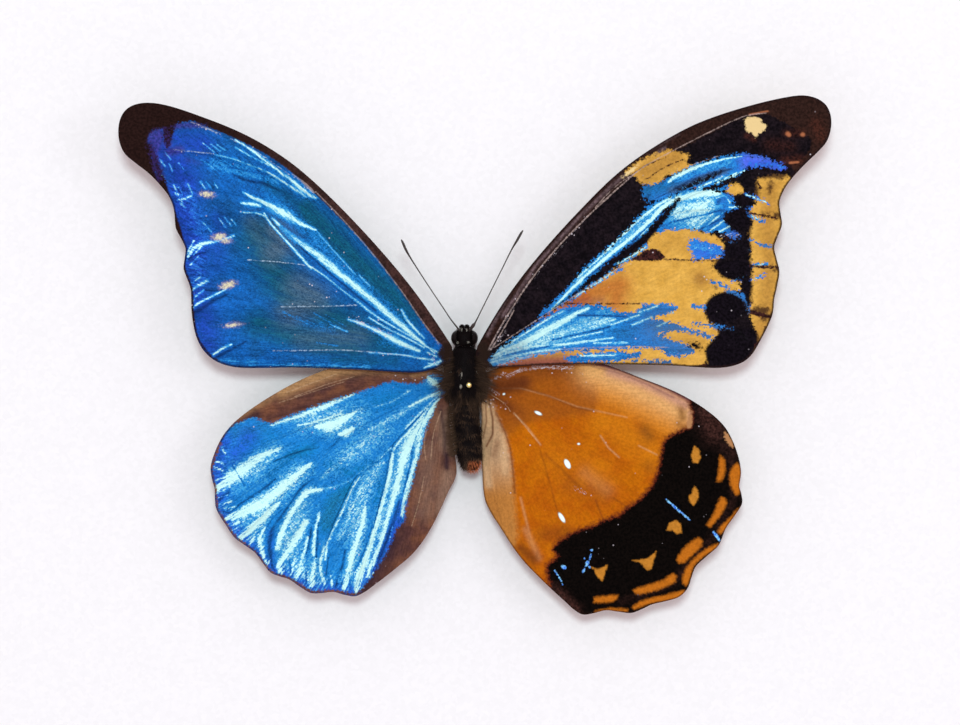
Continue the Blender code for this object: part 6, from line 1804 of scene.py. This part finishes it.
COIL_STEPS = 63
COIL_MIDDLE = (6.15, 2.48)  # y and z
COIL_OUTSIDE, COIL_INSIDE = 0.68, 0.2
COIL_TURN = 630  # degrees that the tongue is rolled up by
TONGUE_RADIUS = 0.1
coil = []
for number in range(COIL_STEPS + 1):
    share = number / COIL_STEPS
    angle = math.radians(80 - COIL_TURN * share)
    radius = COIL_OUTSIDE + (COIL_INSIDE - COIL_OUTSIDE) * share
    y, z = COIL_MIDDLE[0] + radius * math.cos(angle), COIL_MIDDLE[1] + radius * math.sin(angle)
    coil.append((MIDDLE - 0.01, y, z, TONGUE_RADIUS))
limb_piece("tongue_coil", "tongue", tube(coil, 10, 0.05, 0.12, 0.12))

# Pin

brass = Finish("worn_brass")
wear = brass.grain(6.0, None, 3.0)
brass.apply(
    Base_Color=brass.blend(wear, paint(226, 200, 120), paint(244, 226, 156)), Metallic=1.0,
    Roughness=0.2 + 0.2 * wear,
)
PIN_PROFILE = [
    (0.22, 0.0), (0.22, 8.6), (0.25, 8.7), (0.3, 8.76), (0.32, 8.86), (0.32, 9.0), (0.29, 9.1), (0.22, 9.17),
    (0.12, 9.2),
]


def turned(profile, sides):
    """A solid of revolution round the z axis from points of (radius, height)."""
    angles = np.arange(sides) * 2 * math.pi / sides
    circle = np.column_stack([np.cos(angles), np.sin(angles), np.ones(sides)])
    rings = [circle * (r, r, z) for r, z in profile]
    corners = np.vstack(rings + [(0, 0, profile[0][1]), (0, 0, profile[-1][1])])
    return corners, ring_faces(len(rings), sides)


mesh_piece("pin_turned", *turned(PIN_PROFILE, 40), [brass.material], "pin", "pin")

# Stage -----------------------------------------------------------------------------------------------------


def lamp(name, watts, colour, size, place, target):
    data = bpy.data.lights.new(name, "AREA")
    data.energy = watts
    data.color = colour
    data.shape = "DISK"
    data.size = size * MM
    made = bpy.data.objects.new(name, data)
    made.location = Vector(place) * MM
    made.rotation_euler = (Vector(target) - Vector(place)).to_track_quat("-Z", "Y").to_euler()
    bpy.context.scene.collection.objects.link(made)


table_top = Finish("pale_table")
grain = table_top.grain(0.25, None, 3.0) * 0.4 + table_top.scales(2.2, table_top.place()) * 0.6
table_top.apply(
    Base_Color=table_top.blend(grain, (0.855, 0.85, 0.882), (0.915, 0.908, 0.944)), Roughness=0.9
)
floor_mesh = bpy.data.meshes.new("table")
floor_mesh.from_pydata([(-1.5, -1.5, 0), (1.5, -1.5, 0), (1.5, 1.5, 0), (-1.5, 1.5, 0)], [], [(0, 1, 2, 3)])
floor_mesh.materials.append(table_top.material)
floor = bpy.data.objects.new("table", floor_mesh)
bpy.context.scene.collection.objects.link(floor)

# The room's light is a little pink, so that shadows are too, and the key light makes up for it elsewhere.
lamp("key_light", 3.03, (0.824, 1.0, 0.985), 150, (0, 156, 800), (0, 0, 5))
lamp("side_light", 0.5, (1.0, 1.0, 1.0), 300, (600, 60, 600), (0, 0, 5))
world = bpy.data.worlds.new("studio")
world.use_nodes = True
world.node_tree.nodes["Background"].inputs["Color"].default_value = (1.0, 0.86, 0.88, 1)
world.node_tree.nodes["Background"].inputs["Strength"].default_value = 0.71
bpy.context.scene.world = world
bpy.context.scene.view_settings.view_transform = "Standard"

camera_data = bpy.data.cameras.new("overhead")
camera_data.sensor_width = SENSOR
camera_data.lens = SENSOR * CAMERA_HEIGHT / (PHOTO_WIDTH * PIXEL)
camera_data.clip_start = 0.01
camera_data.clip_end = 10
camera = bpy.data.objects.new("overhead", camera_data)
middle = ((PHOTO_WIDTH / 2 - PIN_PIXEL[0]) * PIXEL, (PIN_PIXEL[1] - PHOTO_HEIGHT / 2) * PIXEL)
camera.location = Vector((*middle, WING_LEVEL + CAMERA_HEIGHT)) * MM
bpy.context.scene.collection.objects.link(camera)
bpy.context.scene.camera = camera
